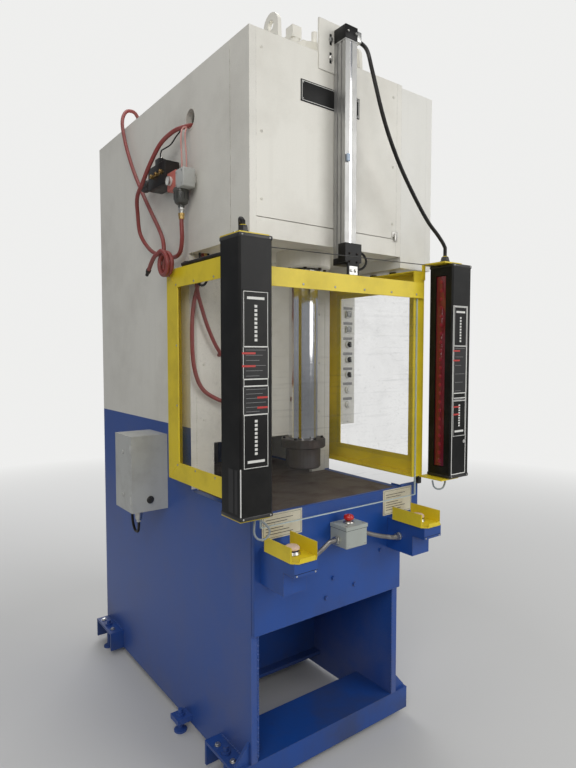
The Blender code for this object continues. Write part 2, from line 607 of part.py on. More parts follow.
# Control cabinet
def cabinet(white, dark):
    """The control cabinet on the right side plate, its door and its latch."""
    x0, x1 = RIGHT + GAP, RIGHT + CABINET_D
    y0, y1 = FRONT + GAP, FRONT + CABINET_W
    box = piece("control_cabinet", folded((x0, x1), (y0, y1), (CABINET_BOTTOM, CABINET_TOP), "+X", SHEET_T),
                white)
    z0 = CABINET_BOTTOM + 0.060
    panel = block((x0 + 0.010, x0 + 0.013), (y0 + 0.040, y1 - 0.040), (z0, CABINET_TOP - 0.060))
    studs = [rod(0.005, 0.001, 0.012, (x0, y, z), "X", 8) for y in (y0 + 0.060, y1 - 0.060)
             for z in (z0 + 0.020, CABINET_TOP - 0.080)]
    contactors = [block((x0 + 0.012, x0 + 0.095), (y0 + 0.080 + i * 0.085, y0 + 0.145 + i * 0.085),
                        (CABINET_TOP - 0.260, CABINET_TOP - 0.140)) for i in range(3)]
    supply = block((x0 + 0.012, x0 + 0.110), (y1 - 0.200, y1 - 0.080),
                   (CABINET_TOP - 0.280, CABINET_TOP - 0.120))
    terminals = block((x0 + 0.012, x0 + 0.050), (y0 + 0.080, y1 - 0.080), (z0 + 0.050, z0 + 0.095))
    join(box, panel, *studs, *contactors, supply, terminals)
    hinge = (x1 + GAP, y1, (CABINET_BOTTOM + CABINET_TOP) / 2)
    door_x = (x1 + GAP, x1 + CABINET_DOOR_D)
    piece("cabinet_door", folded(door_x, (y0, y1), (CABINET_BOTTOM, CABINET_TOP), "-X", SHEET_T), white, hinge)
    latch = (door_x[1] + GAP, y0 + 0.045, hinge[2])
    dial = rod(0.014, 0.0, 0.010, latch, "X", 16)
    handle = piece("cabinet_latch", dial, dark, latch)
    join(handle, block((latch[0] + 0.006, latch[0] + 0.018), (latch[1] - 0.006, latch[1] + 0.006),
                       (latch[2] - 0.032, latch[2] + 0.012)))


# Guard door
def grooved_outline(xs, ys):
    """The cylinder extrusion's section: a slot for the carriage and two grooves a side."""
    slot_w, slot_d, groove_w, groove_d = 0.005, 0.012, 0.0035, 0.005
    cx = (xs[0] + xs[1]) / 2
    grooves = [ys[0] + (ys[1] - ys[0]) * share for share in (0.33, 0.67)]
    points = [(xs[0], ys[0]), (cx - slot_w, ys[0]), (cx - slot_w, ys[0] + slot_d),
              (cx + slot_w, ys[0] + slot_d), (cx + slot_w, ys[0]), (xs[1], ys[0])]
    for y in grooves:
        points += [(xs[1], y - groove_w), (xs[1] - groove_d, y - groove_w),
                   (xs[1] - groove_d, y + groove_w), (xs[1], y + groove_w)]
    points += [(xs[1], ys[1]), (xs[0], ys[1])]
    for y in reversed(grooves):
        points += [(xs[0], y + groove_w), (xs[0] + groove_d, y + groove_w),
                   (xs[0] + groove_d, y - groove_w), (xs[0], y - groove_w)]
    return points


def guard_door(yellow, clear, aluminium, black):
    """The lifting door with its rodless cylinder and carriage."""
    xs = (GUARD_CYL_X - GUARD_CYL_W / 2, GUARD_CYL_X + GUARD_CYL_W / 2)
    ys = GUARD_CYL_Y
    cylinder = piece("guard_cylinder", slab(grooved_outline(xs, ys), "Z", GUARD_CYL_BOTTOM, GUARD_CYL_TOP),
                     aluminium)
    z = GUARD_CYL_TOP
    side = (xs[0] - 0.001, xs[1] + 0.001)
    join(cylinder, block(side, (ys[0] - 0.001, ys[1]), (z - PAST, z + CYL_CAP_H)),
         block(xs, ys, (GUARD_CYL_BOTTOM - CYL_FOOT_H, GUARD_CYL_BOTTOM + PAST)),
         rod(0.010, -PAST, 0.024, (side[1], sum(ys) / 2, z + CYL_CAP_H / 2), "X", 12))
    z0, z1 = CARRIAGE_BOTTOM, CARRIAGE_BOTTOM + CARRIAGE_H
    x0, x1 = xs[0] - 0.002, xs[1] + 0.002
    cheek = ys[0] + CARRIAGE_CHEEK
    outline = [(x0 - CARRIAGE_WALL, DOOR_Y), (x1 + CARRIAGE_WALL, DOOR_Y), (x1 + CARRIAGE_WALL, cheek),
               (x1, cheek),
               (x1, ys[0] - 2 * GAP), (x0, ys[0] - 2 * GAP), (x0, cheek), (x0 - CARRIAGE_WALL, cheek)]
    place = (GUARD_CYL_X, DOOR_Y, z0)
    carriage = piece("guard_carriage", slab(outline, "Z", z0, z1), black, place)
    join(carriage, block(xs, (DOOR_Y, DOOR_Y + DOOR_PANEL_T), (DOOR_PANEL_TOP + GAP, z0 + PAST)))
    piece("guard_door_bar", block(DOOR_BAR_X, (DOOR_Y - GAP - DOOR_BAR_T, DOOR_Y - GAP), DOOR_BAR), yellow,
          place)
    piece("guard_door_panel", block(DOOR_PANEL_X, (DOOR_Y, DOOR_Y + DOOR_PANEL_T),
                                    (DOOR_PANEL_BOTTOM, DOOR_PANEL_TOP)), clear, place)


def side_guard(name, face, outward, yellow, clear):
    """One side guard: a window frame of welded angle, its clear panel and the curtain's arms."""
    outer = face + outward * GUARD_OUT
    xs = sorted((outer, face + outward * GAP))
    bm = block(xs, GUARD_Y, GUARD_Z)
    bmesh.ops.delete(bm, geom=[f for f in bm.faces if f.normal.x * outward < -0.9], context="FACES")
    window = [f for f in bm.faces if f.normal.x * outward > 0.9]
    bmesh.ops.inset_region(bm, faces=window, thickness=GUARD_BAND, use_even_offset=True)
    rear = [v for f in window for v in f.verts if v.co.y > GUARD_Y[1] - GUARD_BAND - PAST]
    bmesh.ops.translate(bm, verts=list(set(rear)), vec=(0, GUARD_BAND - GUARD_REAR_BAND, 0))
    bmesh.ops.delete(bm, geom=window, context="FACES")
    bmesh.ops.solidify(bm, geom=bm.faces, thickness=GUARD_T)
    bmesh.ops.recalc_face_normals(bm, faces=bm.faces)
    frame_piece = piece(name, bm, yellow)
    reach, near = 0.160, 0.050
    arm_x = sorted((face + outward * near, face + outward * reach))
    arm_y = (CURTAIN_Y[0] + 0.012, GUARD_Y[0] + 0.0035)
    low, high = CURTAIN_Z[0] - GAP, CURTAIN_Z[1] + GAP
    riser_x = sorted((face + outward * near, face + outward * GUARD_OUT))
    join(frame_piece, block(arm_x, arm_y, (low - ARM_T, low)), block(arm_x, arm_y, (high, high + ARM_T)),
         block(riser_x, (CURTAIN_Y[1] + 2 * GAP, arm_y[1] + 0.0004), (high - 0.060, high + ARM_T / 2)),
         rod(0.011, high + ARM_T / 2, high + 0.036, (face + outward * 0.115, FRONT - 0.140, 0), steps=12))
    inside = outer - outward * (GUARD_T + GAP)
    panel_x = sorted((inside, inside - outward * GUARD_PANEL_T))
    edge = GUARD_BAND - GUARD_LAP
    piece(f"{name}_panel", block(panel_x, (GUARD_Y[0] + edge, GUARD_Y[1] - GUARD_REAR_BAND + GUARD_LAP),
                                 (GUARD_Z[0] + edge, GUARD_Z[1] - edge)), clear)


def light_curtain(name, xs, inward, black):
    """One upright of the light curtain, with the recess of its window."""
    body = piece(name, block(xs, CURTAIN_Y, CURTAIN_Z), black, bevel=0.006)
    face = xs[1] if inward > 0 else xs[0]
    cy = sum(CURTAIN_Y) / 2
    cut(body, block(sorted((face + inward * PAST, face - inward * CURTAIN_WINDOW_D)),
                    (cy - CURTAIN_WINDOW_W / 2, cy + CURTAIN_WINDOW_W / 2),
                    (CURTAIN_Z[0] + CURTAIN_WINDOW_END, CURTAIN_Z[1] - CURTAIN_WINDOW_END)))


# Controls
def button_strip(white, black, grey):
    """The upright button strip with two lamps, three selector switches and two buttons."""
    strip = piece("button_strip", block(STRIP_X, STRIP_Y, STRIP_Z), white, bevel=0.003)
    cx, face = sum(STRIP_X) / 2, STRIP_Y[0]
    bezel, bore, depth = OPERATOR_R, OPERATOR_R * 0.66, 0.014
    for i in range(LAMP_COUNT):
        z = OPERATOR_TOP - i * OPERATOR_PITCH
        join(strip, block((cx - bezel, cx + bezel), (face - 0.010, face + PAST), (z - bezel, z + bezel)))
    heights = [OPERATOR_TOP - (i + LAMP_COUNT) * OPERATOR_PITCH for i in range(SWITCH_COUNT + BUTTON_COUNT)]
    join(strip, together([rod(bezel, -0.008, PAST, (cx, face, z), "Y", 16) for z in heights]))
    cut(strip, together([rod(bore, -0.020, depth, (cx, face, z), "Y", 16) for z in heights]))
    fit = bore - OPERATOR_CLEARANCE
    for i, z in enumerate(heights[:SWITCH_COUNT]):
        knob = piece(f"selector_{i + 1}", rod(fit, -0.012, depth - GAP, (cx, face, z), "Y", 16), black,
                     (cx, face, z))
        join(knob, block((cx - 0.004, cx + 0.004), (face - 0.024, face - 0.010), (z - 0.013, z + 0.013)))
    press = depth - GAP - BUTTON_TRAVEL
    for i, z in enumerate(heights[SWITCH_COUNT:]):
        piece(f"push_button_{i + 1}", rod(fit, -0.014, press, (cx, face, z), "Y", 16), grey, (cx, face, z),
              smooth=True)


def palm_station(side, x0, yellow, blue, grey, link):
    """One palm button under its yellow guard, on a blue box with a conduit connector."""
    x1 = x0 + PALM_W
    z0, t, wall = PALM_BASE_Z, PALM_SHEET_T, PALM_BASE_Z + PALM_WALL_H
    outline = [(x0, z0), (x1, z0), (x1, wall), (x1 - t, wall), (x1 - t, z0 + t), (x0 + t, z0 + t),
               (x0 + t, wall), (x0, wall)]
    guard = piece(f"palm_guard_{side}", slab(outline, "Y", *PALM_Y), yellow)
    for corner, inward in ((x0, 1), (x1, -1)):
        notch = [(corner - inward * PAST, PALM_Y[0] - PAST),
                 (corner + inward * (PALM_CORNER + PAST), PALM_Y[0] - PAST),
                 (corner - inward * PAST, PALM_Y[0] + PALM_CORNER + PAST)]
        cut(guard, slab(notch, "Z", z0 - PAST, wall + PAST))
    lip_x = (x0 + PALM_CORNER + PAST, x1 - PALM_CORNER - PAST)
    join(guard, block(lip_x, (PALM_Y[0], PALM_Y[0] + t), (z0 + t / 2, z0 + t + PALM_LIP_H)))
    cx, cy = (x0 + x1) / 2, PALM_Y[0] + 0.085
    cut(guard, rod(PALM_COLLAR_R + GAP, -PAST, t + PAST, (cx, cy, z0), steps=24))
    top, step = z0 - GAP, z0 - GAP - PALM_BOX_TOP_H
    ya, yb = PALM_Y[0] + PALM_BOX_INSET, STOP_Y[1]
    side_view = [(ya, step), (ya + PALM_BOX_STEP, step), (ya + PALM_BOX_STEP, PALM_BOX_BOTTOM),
                 (yb, PALM_BOX_BOTTOM), (yb, top), (ya, top)]
    bx = (x0 + PALM_BOX_INSET, x1 - PALM_BOX_INSET)
    box = piece(f"palm_box_{side}", slab(side_view, "X", *bx), blue)
    collar = z0 + t + PALM_COLLAR_H
    face = bx[1] if link > 0 else bx[0]
    ends = sorted((-link * PAST, link * CONNECTOR_OUT))
    join(box, rod(PALM_COLLAR_R, top - PAST, collar, (cx, cy, 0), steps=24),
         rod(CONNECTOR_R, *ends, (face, FRONT - 0.085, 0.850), "X", 12))
    cut(box, rod(PALM_STEM_R + STEM_CLEARANCE, collar - 0.048, collar + PAST, (cx, cy, 0), steps=16))
    low = collar + PALM_TRAVEL + GAP
    cap = [(0, collar - 0.042), (PALM_STEM_R, collar - 0.042), (PALM_STEM_R, low), (PALM_CAP_R - 0.002, low),
           (PALM_CAP_R, low + 0.003), (PALM_CAP_R, low + PALM_CAP_H * 0.5),
           (PALM_CAP_R * 0.8, low + PALM_CAP_H * 0.9),
           (PALM_CAP_R * 0.4, low + PALM_CAP_H), (0, low + PALM_CAP_H)]
    piece(f"palm_button_{side}", turned(cap, (cx, cy, 0), steps=24), grey, (cx, cy, collar), smooth=True)


def emergency_stop(grey, red):
    """The emergency stop box with its mushroom button and two conduit connectors."""
    box = piece("stop_box", block(STOP_X, STOP_Y, STOP_Z), grey, bevel=0.003)
    lip = 0.0015
    join(box, block((STOP_X[0] - lip, STOP_X[1] + lip), (STOP_Y[0] - lip, STOP_Y[1] - lip),
                    (STOP_Z[1] - 0.012, STOP_Z[1] + lip)))
    cx, cy, top = sum(STOP_X) / 2, sum(STOP_Y) / 2, STOP_Z[1] + lip
    collar = top + 0.008
    join(box, rod(0.014, -PAST, 0.008, (cx, cy, top), steps=20))
    for x, start, stop in ((STOP_X[0], -CONNECTOR_OUT, PAST), (STOP_X[1], -PAST, CONNECTOR_OUT)):
        join(box, rod(CONNECTOR_R, start, stop, (x, FRONT - 0.062, 0.890), "X", 12))
    cut(box, rod(PALM_STEM_R + STEM_CLEARANCE, -0.030, PAST, (cx, cy, collar), steps=16))
    low = collar + STOP_TRAVEL + GAP
    cap = [(0, collar - 0.022), (PALM_STEM_R, collar - 0.022), (PALM_STEM_R, low), (STOP_CAP_R - 0.003, low),
           (STOP_CAP_R, low + 0.004), (STOP_CAP_R, low + 0.010), (STOP_CAP_R * 0.85, low + 0.016),
           (STOP_CAP_R * 0.45, low + 0.019), (0, low + 0.0195)]
    piece("stop_button", turned(cap, (cx, cy, 0), steps=24), red, (cx, cy, collar), smooth=True)


def junction_box(grey, black):
    """The junction box on the left side plate, its door, hinged at the outer side, and the door's lock."""
    xs = (LEFT - JBOX_OUT, LEFT - GAP)
    y_split = JBOX_Y[0] + JBOX_DOOR_D
    body = piece("junction_box", folded(xs, (y_split, JBOX_Y[1]), JBOX_Z, "-Y", SHEET_T), grey)
    gland = turned([(0, -0.060), (0.010, -0.060), (0.010, -0.030), (0.016, -0.030), (0.016, 0.002),
                    (0, 0.002)],
                   (LEFT - 0.108, FRONT + 0.750, JBOX_Z[0]), steps=12)
    strip = block((xs[1] - 0.045, xs[1] - 0.001), (y_split + 0.090, y_split + 0.120),
                  (JBOX_Z[0] + 0.080, JBOX_Z[1] - 0.080))
    join(body, gland, strip)
    hinge = (xs[0], y_split - GAP, sum(JBOX_Z) / 2)
    piece("junction_box_door", folded(xs, (JBOX_Y[0], y_split - GAP), JBOX_Z, "+Y", SHEET_T), grey, hinge)
    lock = ((xs[0] + xs[1]) / 2, JBOX_Y[0] - GAP, JBOX_Z[0] + 0.050)
    turn = piece("junction_box_lock", rod(JBOX_LOCK_R, -0.008, 0.0, lock, "Y", 16), black, lock)
    join(turn, block((lock[0] - 0.003, lock[0] + 0.003), (lock[1] - 0.014, lock[1] - 0.006),
                     (lock[2] - JBOX_LOCK_R, lock[2] + JBOX_LOCK_R)))


def air_set(black, grey):
    """The air preparation set on the left side plate: separator, regulator, valve and knob."""
    back = LEFT - GAP
    xs = (back - AIR_OUT - AIR_BLOCK, back - AIR_OUT)
    cx = sum(xs) / 2
    y1 = AIR_Y + REGULATOR_LEN
    y2 = y1 + SEPARATOR_LEN
    y3 = y2 + VALVE_LEN
    body = piece("air_valve_block", block(xs, (AIR_Y, y1), (AIR_Z - 0.055, AIR_Z + 0.035)), grey, bevel=0.003)
    middle = block((xs[0] + 0.004, xs[1] - 0.004), (y1 - PAST, y2), (AIR_Z - 0.050, AIR_Z + 0.030))
    valve = block((xs[0] - 0.003, xs[1] - 0.003), (y2 - PAST, y3), (AIR_Z - 0.040, AIR_Z + 0.045))
    plate = block((back - AIR_OUT - PAST, back), (AIR_Y + 0.020, y3 - 0.020), (AIR_Z - 0.020, AIR_Z + 0.020))
    bowl_y = AIR_Y + REGULATOR_LEN
    z = AIR_Z - 0.050
    bowl = turned([(0, z + 0.010), (0.030, z + 0.010), (0.030, z - 0.070), (0.024, z - 0.090),
                   (0.012, z - 0.094),
                   (0.012, z - 0.110), (0.009, z - 0.110), (0.009, z - 0.130), (0, z - 0.130)],
                  (cx, bowl_y, 0), steps=20)
    coil = block((cx - 0.016, cx + 0.016), (y3 - 0.075, y3 - 0.035), (AIR_Z + 0.040, AIR_Z + 0.080))
    stub = rod(0.010, -PAST, 0.050, (cx, y3, AIR_Z), "Y", 16)
    join(body, middle, valve, plate, bowl, coil, stub)
    foot = y3 + 0.050 + GAP
    knob = [(0, 0), (KNOB_R * 0.7, 0), (KNOB_R, 0.006), (KNOB_R, KNOB_LEN - 0.012), (KNOB_R * 0.8, KNOB_LEN),
            (0, KNOB_LEN)]
    piece("regulator_knob", turned(knob, (cx, foot, AIR_Z), "Y", 16), black, (cx, foot, AIR_Z), smooth=True)
    return cx, bowl_y, z - 0.130


# Hoses
def from_corner(points):
    """Places measured from the left plate's outer face and the frame's front."""
    return [(LEFT + x, FRONT + y, z) for x, y, z in points]


def hoses(red, black, steel, drain):
    """The air hoses and the conduits between the operator's stations."""
    loop = from_corner([(0.060, 0.430, 2.505), (0.010, 0.430, 2.502), (-0.030, 0.440, 2.488),
                        (-0.052, 0.485, 2.478),
                        (-0.080, 0.540, 2.440), (-0.100, 0.600, 2.370), (-0.105, 0.665, 2.310),
                        (-0.100, 0.735, 2.268),
                        (-0.072, 0.800, 2.210), (-0.052, 0.822, 2.130), (-0.034, 0.760, 2.056),
                        (-0.030, 0.660, 2.018),
                        (-0.030, 0.560, 1.994), (-0.034, 0.470, 1.998), (-0.040, 0.432, 2.045)])
    end = (drain[0], drain[1], drain[2] - GAP)
    tube("red_hose_loop", loop + [(end[0], end[1], end[2] - 0.040), end], RED_HOSE_R, red)
    coil = (LEFT - GUARD_OUT, FRONT + 0.490, 1.957)
    inner, outer, wide = 0.034, 0.060, 0.034
    ring = [(inner, GAP), (outer, GAP), (outer, wide), (inner, wide)]
    piece("red_hose_coil", turned([(r, -h) for r, h in ring], coil, "X", 24), red, smooth=True)
    top = (coil[0] - wide / 2, coil[1] + 0.004, coil[2] + outer + 0.0006)
    port = (SUPPLY_PORT[0] - LEFT, SUPPLY_PORT[1] - FRONT, FRAME_H + SUPPLY_PORT_H + GAP)
    supply = from_corner([port, (port[0], port[1], 2.765), (0.060, 1.150, 2.800), (0.010, 1.130, 2.785),
                          (-0.020, 1.105, 2.720), (-0.024, 1.060, 2.610), (-0.026, 0.985, 2.490),
                          (-0.028, 0.890, 2.370), (-0.034, 0.760, 2.235), (-0.050, 0.625, 2.120),
                          (-0.070, 0.530, 2.065)])
    tube("red_hose_supply", supply + [(top[0], top[1], top[2] + 0.030), top], RED_HOSE_R, red)
    throat = from_corner([(0.055, 0.415, HEAD_BOTTOM - GAP), (0.055, 0.415, 1.955), (0.030, 0.424, 1.890),
                          (0.006, 0.430, 1.780),
                          (0.000, 0.431, 1.660), (0.008, 0.430, 1.540), (0.040, 0.427, 1.455),
                          (0.100, 0.420, 1.410),
                          (0.150, 0.410, 1.393), (0.205, 0.412, 1.390), (0.205, THROAT - GAP, 1.390)])
    tube("red_hose_throat", throat, RED_HOSE_R, red)
    start_x = GUARD_CYL_X + GUARD_CYL_W / 2 + 0.001 + 0.024 + GAP - LEFT
    start_y = sum(GUARD_CYL_Y) / 2 - FRONT
    gland_x = FRAME_W + 0.115
    bend = from_corner([(start_x, start_y, GUARD_CYL_TOP + CYL_CAP_H / 2),
                        (start_x + 0.024, start_y, GUARD_CYL_TOP + CYL_CAP_H / 2),
                        (start_x + 0.034, -0.060, 2.735), (0.480, -0.100, 2.640), (0.520, -0.122, 2.470),
                        (0.590, -0.125, 2.340),
                        (0.680, -0.125, 2.225), (0.770, -0.125, 2.130), (0.835, -0.130, 2.075),
                        (gland_x, -0.140, 2.030),
                        (gland_x, -0.140, CURTAIN_Z[1] + 0.036 + 2 * GAP)])
    tube("black_hose", bend, BLACK_HOSE_R, black)
    y = -0.062
    left_x = PALM_X[0] + PALM_W - PALM_BOX_INSET + CONNECTOR_OUT + GAP - LEFT
    right_x = PALM_X[1] + PALM_BOX_INSET - CONNECTOR_OUT - GAP - LEFT
    stop_left, stop_right = STOP_X[0] - CONNECTOR_OUT - GAP - LEFT, STOP_X[1] + CONNECTOR_OUT + GAP - LEFT
    tube("conduit_left", from_corner([(stop_left, y, 0.890), (stop_left - 0.022, y, 0.890),
                                      (0.262, -0.074, 0.872),
                                      (0.200, -0.084, 0.854), (left_x + 0.018, -0.085, 0.850),
                                      (left_x, -0.085, 0.850)]),
         CONDUIT_R, steel)
    tube("conduit_right", from_corner([(stop_right, y, 0.890), (stop_right + 0.022, y, 0.890),
                                       (0.550, -0.072, 0.872),
                                       (0.610, -0.083, 0.856), (right_x - 0.016, -0.085, 0.850),
                                       (right_x, -0.085, 0.850)]),
         CONDUIT_R, steel)


def main():
    """Clears the scene and builds the press."""
    for obj in list(bpy.data.objects):
        bpy.data.objects.remove(obj)
    white = paint("machine_white", (0.80, 0.79, 0.74), 0.45)
    blue = paint("machine_blue", (0.035, 0.14, 0.42), 0.42)
    yellow = paint("guard_yellow", (0.83, 0.70, 0.04), 0.45)
    grey = paint("box_grey", (0.52, 0.54, 0.53), 0.5)
    black = paint("black_plastic", (0.02, 0.02, 0.022), 0.4)
    dark = paint("dark_steel", (0.10, 0.095, 0.09), 0.5, 0.7)
    steel = paint("bare_steel", (0.24, 0.21, 0.19), 0.45, 0.8)
    chrome = paint("chromed_rod", (0.78, 0.79, 0.80), 0.12, 1.0)
    aluminium = paint("aluminium", (0.62, 0.63, 0.64), 0.35, 1.0)
    clear = paint("clear_sheet", (0.75, 0.80, 0.84), 0.1, 0.0, 0.25)
    red = paint("red_rubber", (0.50, 0.09, 0.07), 0.55)
    stop_red = paint("stop_red", (0.62, 0.03, 0.02), 0.35)
    frame(white, blue, steel)
    head(white)
    hydraulics(white, blue, chrome, dark, steel)
    cabinet(white, dark)
    guard_door(yellow, clear, aluminium, black)
    side_guard("side_guard_left", LEFT, -1, yellow, clear)
    side_guard("side_guard_right", RIGHT, 1, yellow, clear)
    light_curtain("light_curtain_left", CURTAIN_X[0], 1, black)
    light_curtain("light_curtain_right", CURTAIN_X[1], -1, black)
    button_strip(white, black, grey)
    palm_station("left", PALM_X[0], yellow, blue, grey, 1)
    palm_station("right", PALM_X[1], yellow, blue, grey, -1)
    emergency_stop(grey, stop_red)
    junction_box(grey, black)
    drain = air_set(black, grey)
    hoses(red, black, steel, drain)


main()
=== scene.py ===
"""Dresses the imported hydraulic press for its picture.

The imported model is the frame: every piece here rides on one of its bodies and
sits where its nodes say. Metres throughout, +Z up, -Y towards the operator.
"""
from __future__ import annotations

import logging
import math
from dataclasses import dataclass, field
from enum import Enum
from typing import Iterable, Optional, Sequence

import bmesh
import bpy
from mathutils import Matrix, Vector


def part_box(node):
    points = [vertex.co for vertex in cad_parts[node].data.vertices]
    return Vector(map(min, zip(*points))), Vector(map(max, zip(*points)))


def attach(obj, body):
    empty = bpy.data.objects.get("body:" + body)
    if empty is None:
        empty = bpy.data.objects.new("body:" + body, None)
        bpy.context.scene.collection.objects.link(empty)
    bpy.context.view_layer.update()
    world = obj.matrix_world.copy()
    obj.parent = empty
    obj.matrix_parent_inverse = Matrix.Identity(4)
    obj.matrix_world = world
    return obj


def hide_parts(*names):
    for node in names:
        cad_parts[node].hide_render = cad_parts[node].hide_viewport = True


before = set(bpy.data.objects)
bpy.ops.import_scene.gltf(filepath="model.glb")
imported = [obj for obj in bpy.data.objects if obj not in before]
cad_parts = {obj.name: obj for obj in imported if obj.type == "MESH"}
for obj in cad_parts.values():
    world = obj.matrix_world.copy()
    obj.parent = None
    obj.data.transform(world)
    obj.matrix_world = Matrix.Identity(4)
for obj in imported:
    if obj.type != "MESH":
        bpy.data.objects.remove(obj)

LOG = logging.getLogger("press")
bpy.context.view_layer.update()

Point = tuple[float, float, float]
Colour = tuple[float, float, float]


class Axis(Enum):
    """The direction that a turned or extruded piece points in."""

    X = (1.0, 0.0, 0.0)
    Y = (0.0, 1.0, 0.0)
    Z = (0.0, 0.0, 1.0)
    LEFT = (-1.0, 0.0, 0.0)
    FRONT = (0.0, -1.0, 0.0)
    DOWN = (0.0, 0.0, -1.0)

    def turn(self) -> Matrix:
        """Return the rotation from +Z to this direction."""
        return Vector((0.0, 0.0, 1.0)).rotation_difference(Vector(self.value)).to_matrix().to_4x4()


# Shader node groups shared by the finishes

class Graph:
    """A thin helper for wiring the nodes of a material or a group."""

    def __init__(self, tree: bpy.types.NodeTree) -> None:
        """Keep the tree that the nodes go into."""
        self.tree = tree

    def node(self, kind: str, **settings: object) -> bpy.types.Node:
        """Add a node.

        Args:
            kind: The node's type after "ShaderNode".
            settings: Properties of the node, and values of its inputs by name with spaces as underscores.

        Returns:
            The new node.
        """
        made = self.tree.nodes.new(f"ShaderNode{kind}")
        for key, value in settings.items():
            if hasattr(made, key):
                setattr(made, key, value)
            else:
                made.inputs[key.replace("_", " ")].default_value = value
        return made

    def link(self, start: bpy.types.NodeSocket, end: bpy.types.NodeSocket) -> None:
        """Join an output to an input."""
        self.tree.links.new(start, end)

    def math(self, operation: str, first: object, second: object = 0.0,
             clamp: bool = False) -> bpy.types.NodeSocket:
        """Add a math node whose inputs are sockets or numbers, and return its output."""
        made = self.node("Math", operation=operation, use_clamp=clamp)
        for socket, value in zip(made.inputs, (first, second)):
            if isinstance(value, bpy.types.NodeSocket):
                self.link(value, socket)
            else:
                socket.default_value = value
        return made.outputs[0]

    def ramp(self, factor: bpy.types.NodeSocket, low: float, high: float) -> bpy.types.NodeSocket:
        """Stretch a value so that low becomes 0 and high becomes 1, and return the output."""
        made = self.node("MapRange", clamp=True, From_Min=low, From_Max=high)
        self.link(factor, made.inputs["Value"])
        return made.outputs[0]

    def place(self) -> bpy.types.NodeSocket:
        """Return the point's place in the object's own frame."""
        return self.node("TexCoord").outputs["Object"]

    def noise(self, vector: bpy.types.NodeSocket, scale: object, **settings: float) -> bpy.types.NodeSocket:
        """Add a noise texture, whose scale is a socket or a number, and return its value."""
        made = self.node("TexNoise", **settings)
        self.link(vector, made.inputs["Vector"])
        if isinstance(scale, bpy.types.NodeSocket):
            self.link(scale, made.inputs["Scale"])
        else:
            made.inputs["Scale"].default_value = scale
        return made.outputs["Fac"]

    def choose(self, factor: bpy.types.NodeSocket, first: bpy.types.Node, second: bpy.types.Node,
               end: bpy.types.NodeSocket) -> None:
        """Mix two shaders into an output's socket."""
        mix = self.node("MixShader")
        for start, socket in zip((factor, first.outputs[0], second.outputs[0]), mix.inputs):
            self.link(start, socket)
        self.link(mix.outputs[0], end)

    def blend(self, factor: object, first: object, second: object, mode: str = "MIX") -> bpy.types.NodeSocket:
        """Mix two colours, each a socket or a plain colour, and return the output."""
        made = self.node("Mix", data_type="RGBA", blend_type=mode, clamp_factor=True)
        for socket, value in ((made.inputs[0], factor), (made.inputs[6], first), (made.inputs[7], second)):
            if isinstance(value, bpy.types.NodeSocket):
                self.link(value, socket)
            elif isinstance(value, (int, float)):
                socket.default_value = value
            else:
                socket.default_value = (*value, 1.0)
        return made.outputs[2]


def new_group(name: str, inputs: dict[str, float], outputs: Sequence[str]) -> tuple[Graph, dict, dict]:
    """Start a shader node group with float sockets.

    Args:
        name: The group's name.
        inputs: Each input's name and usual value.
        outputs: The names of the outputs.

    Returns:
        The group's graph, and its input and output sockets by name.
    """
    tree = bpy.data.node_groups.new(name, "ShaderNodeTree")
    for key, value in inputs.items():
        tree.interface.new_socket(key, in_out="INPUT", socket_type="NodeSocketFloat").default_value = value
    for key in outputs:
        tree.interface.new_socket(key, in_out="OUTPUT", socket_type="NodeSocketFloat")
    graph = Graph(tree)
    entry = tree.nodes.new("NodeGroupInput")
    leave = tree.nodes.new("NodeGroupOutput")
    return graph, {s.name: s for s in entry.outputs}, {s.name: s for s in leave.inputs}


def edge_wear_group() -> bpy.types.NodeTree:
    """Build the mask of paint rubbed off along edges."""
    graph, given, out = new_group("edge_wear", {"Radius": 0.004, "Amount": 0.5, "Scale": 40.0}, ["Mask"])
    rounded = graph.node("Bevel", samples=4)
    graph.link(given["Radius"], rounded.inputs["Radius"])
    plain = graph.node("NewGeometry")
    facing = graph.node("VectorMath", operation="DOT_PRODUCT")
    graph.link(rounded.outputs[0], facing.inputs[0])
    graph.link(plain.outputs["Normal"], facing.inputs[1])
    bend = graph.math("SUBTRACT", 1.0, facing.outputs["Value"], clamp=True)
    chips = graph.noise(graph.place(), given["Scale"], Detail=5.0, Roughness=0.7)
    broken = graph.ramp(chips, 0.42, 0.62)
    worn = graph.math("MULTIPLY", graph.ramp(bend, 0.03, 0.22), broken)
    graph.link(graph.math("MULTIPLY", worn, given["Amount"], clamp=True), out["Mask"])
    return graph.tree


def grime_group() -> bpy.types.NodeTree:
    """Build the mask of dust and streaks, thickest near the floor."""
    graph, given, out = new_group(
        "shop_grime", {"Amount": 0.4, "Scale": 3.0, "Floor Reach": 0.35, "Streaks": 0.5}, ["Mask", "Fine"])
    place = graph.place()
    cloud = graph.noise(place, given["Scale"], Detail=6.0, Roughness=0.62)
    stretch = graph.node("Mapping")
    stretch.inputs["Scale"].default_value = (22.0, 22.0, 1.1)
    graph.link(place, stretch.inputs["Vector"])
    runs = graph.noise(stretch.outputs[0], 1.0, Detail=3.0, Roughness=0.55)
    where = graph.node("SeparateXYZ")
    graph.link(place, where.inputs[0])
    height = graph.math("DIVIDE", where.outputs["Z"], given["Floor Reach"])
    low = graph.math("SUBTRACT", 1.0, height, clamp=True)
    patches = graph.ramp(cloud, 0.46, 0.72)
    streaks = graph.math("MULTIPLY", graph.ramp(runs, 0.52, 0.78), given["Streaks"])
    floor = graph.math("MULTIPLY", low, graph.ramp(cloud, 0.25, 0.6))
    both = graph.math("ADD", graph.math("MAXIMUM", patches, streaks), floor)
    graph.link(graph.math("MULTIPLY", both, given["Amount"], clamp=True), out["Mask"])
    graph.link(graph.noise(place, 260.0, Detail=2.0), out["Fine"])
    return graph.tree


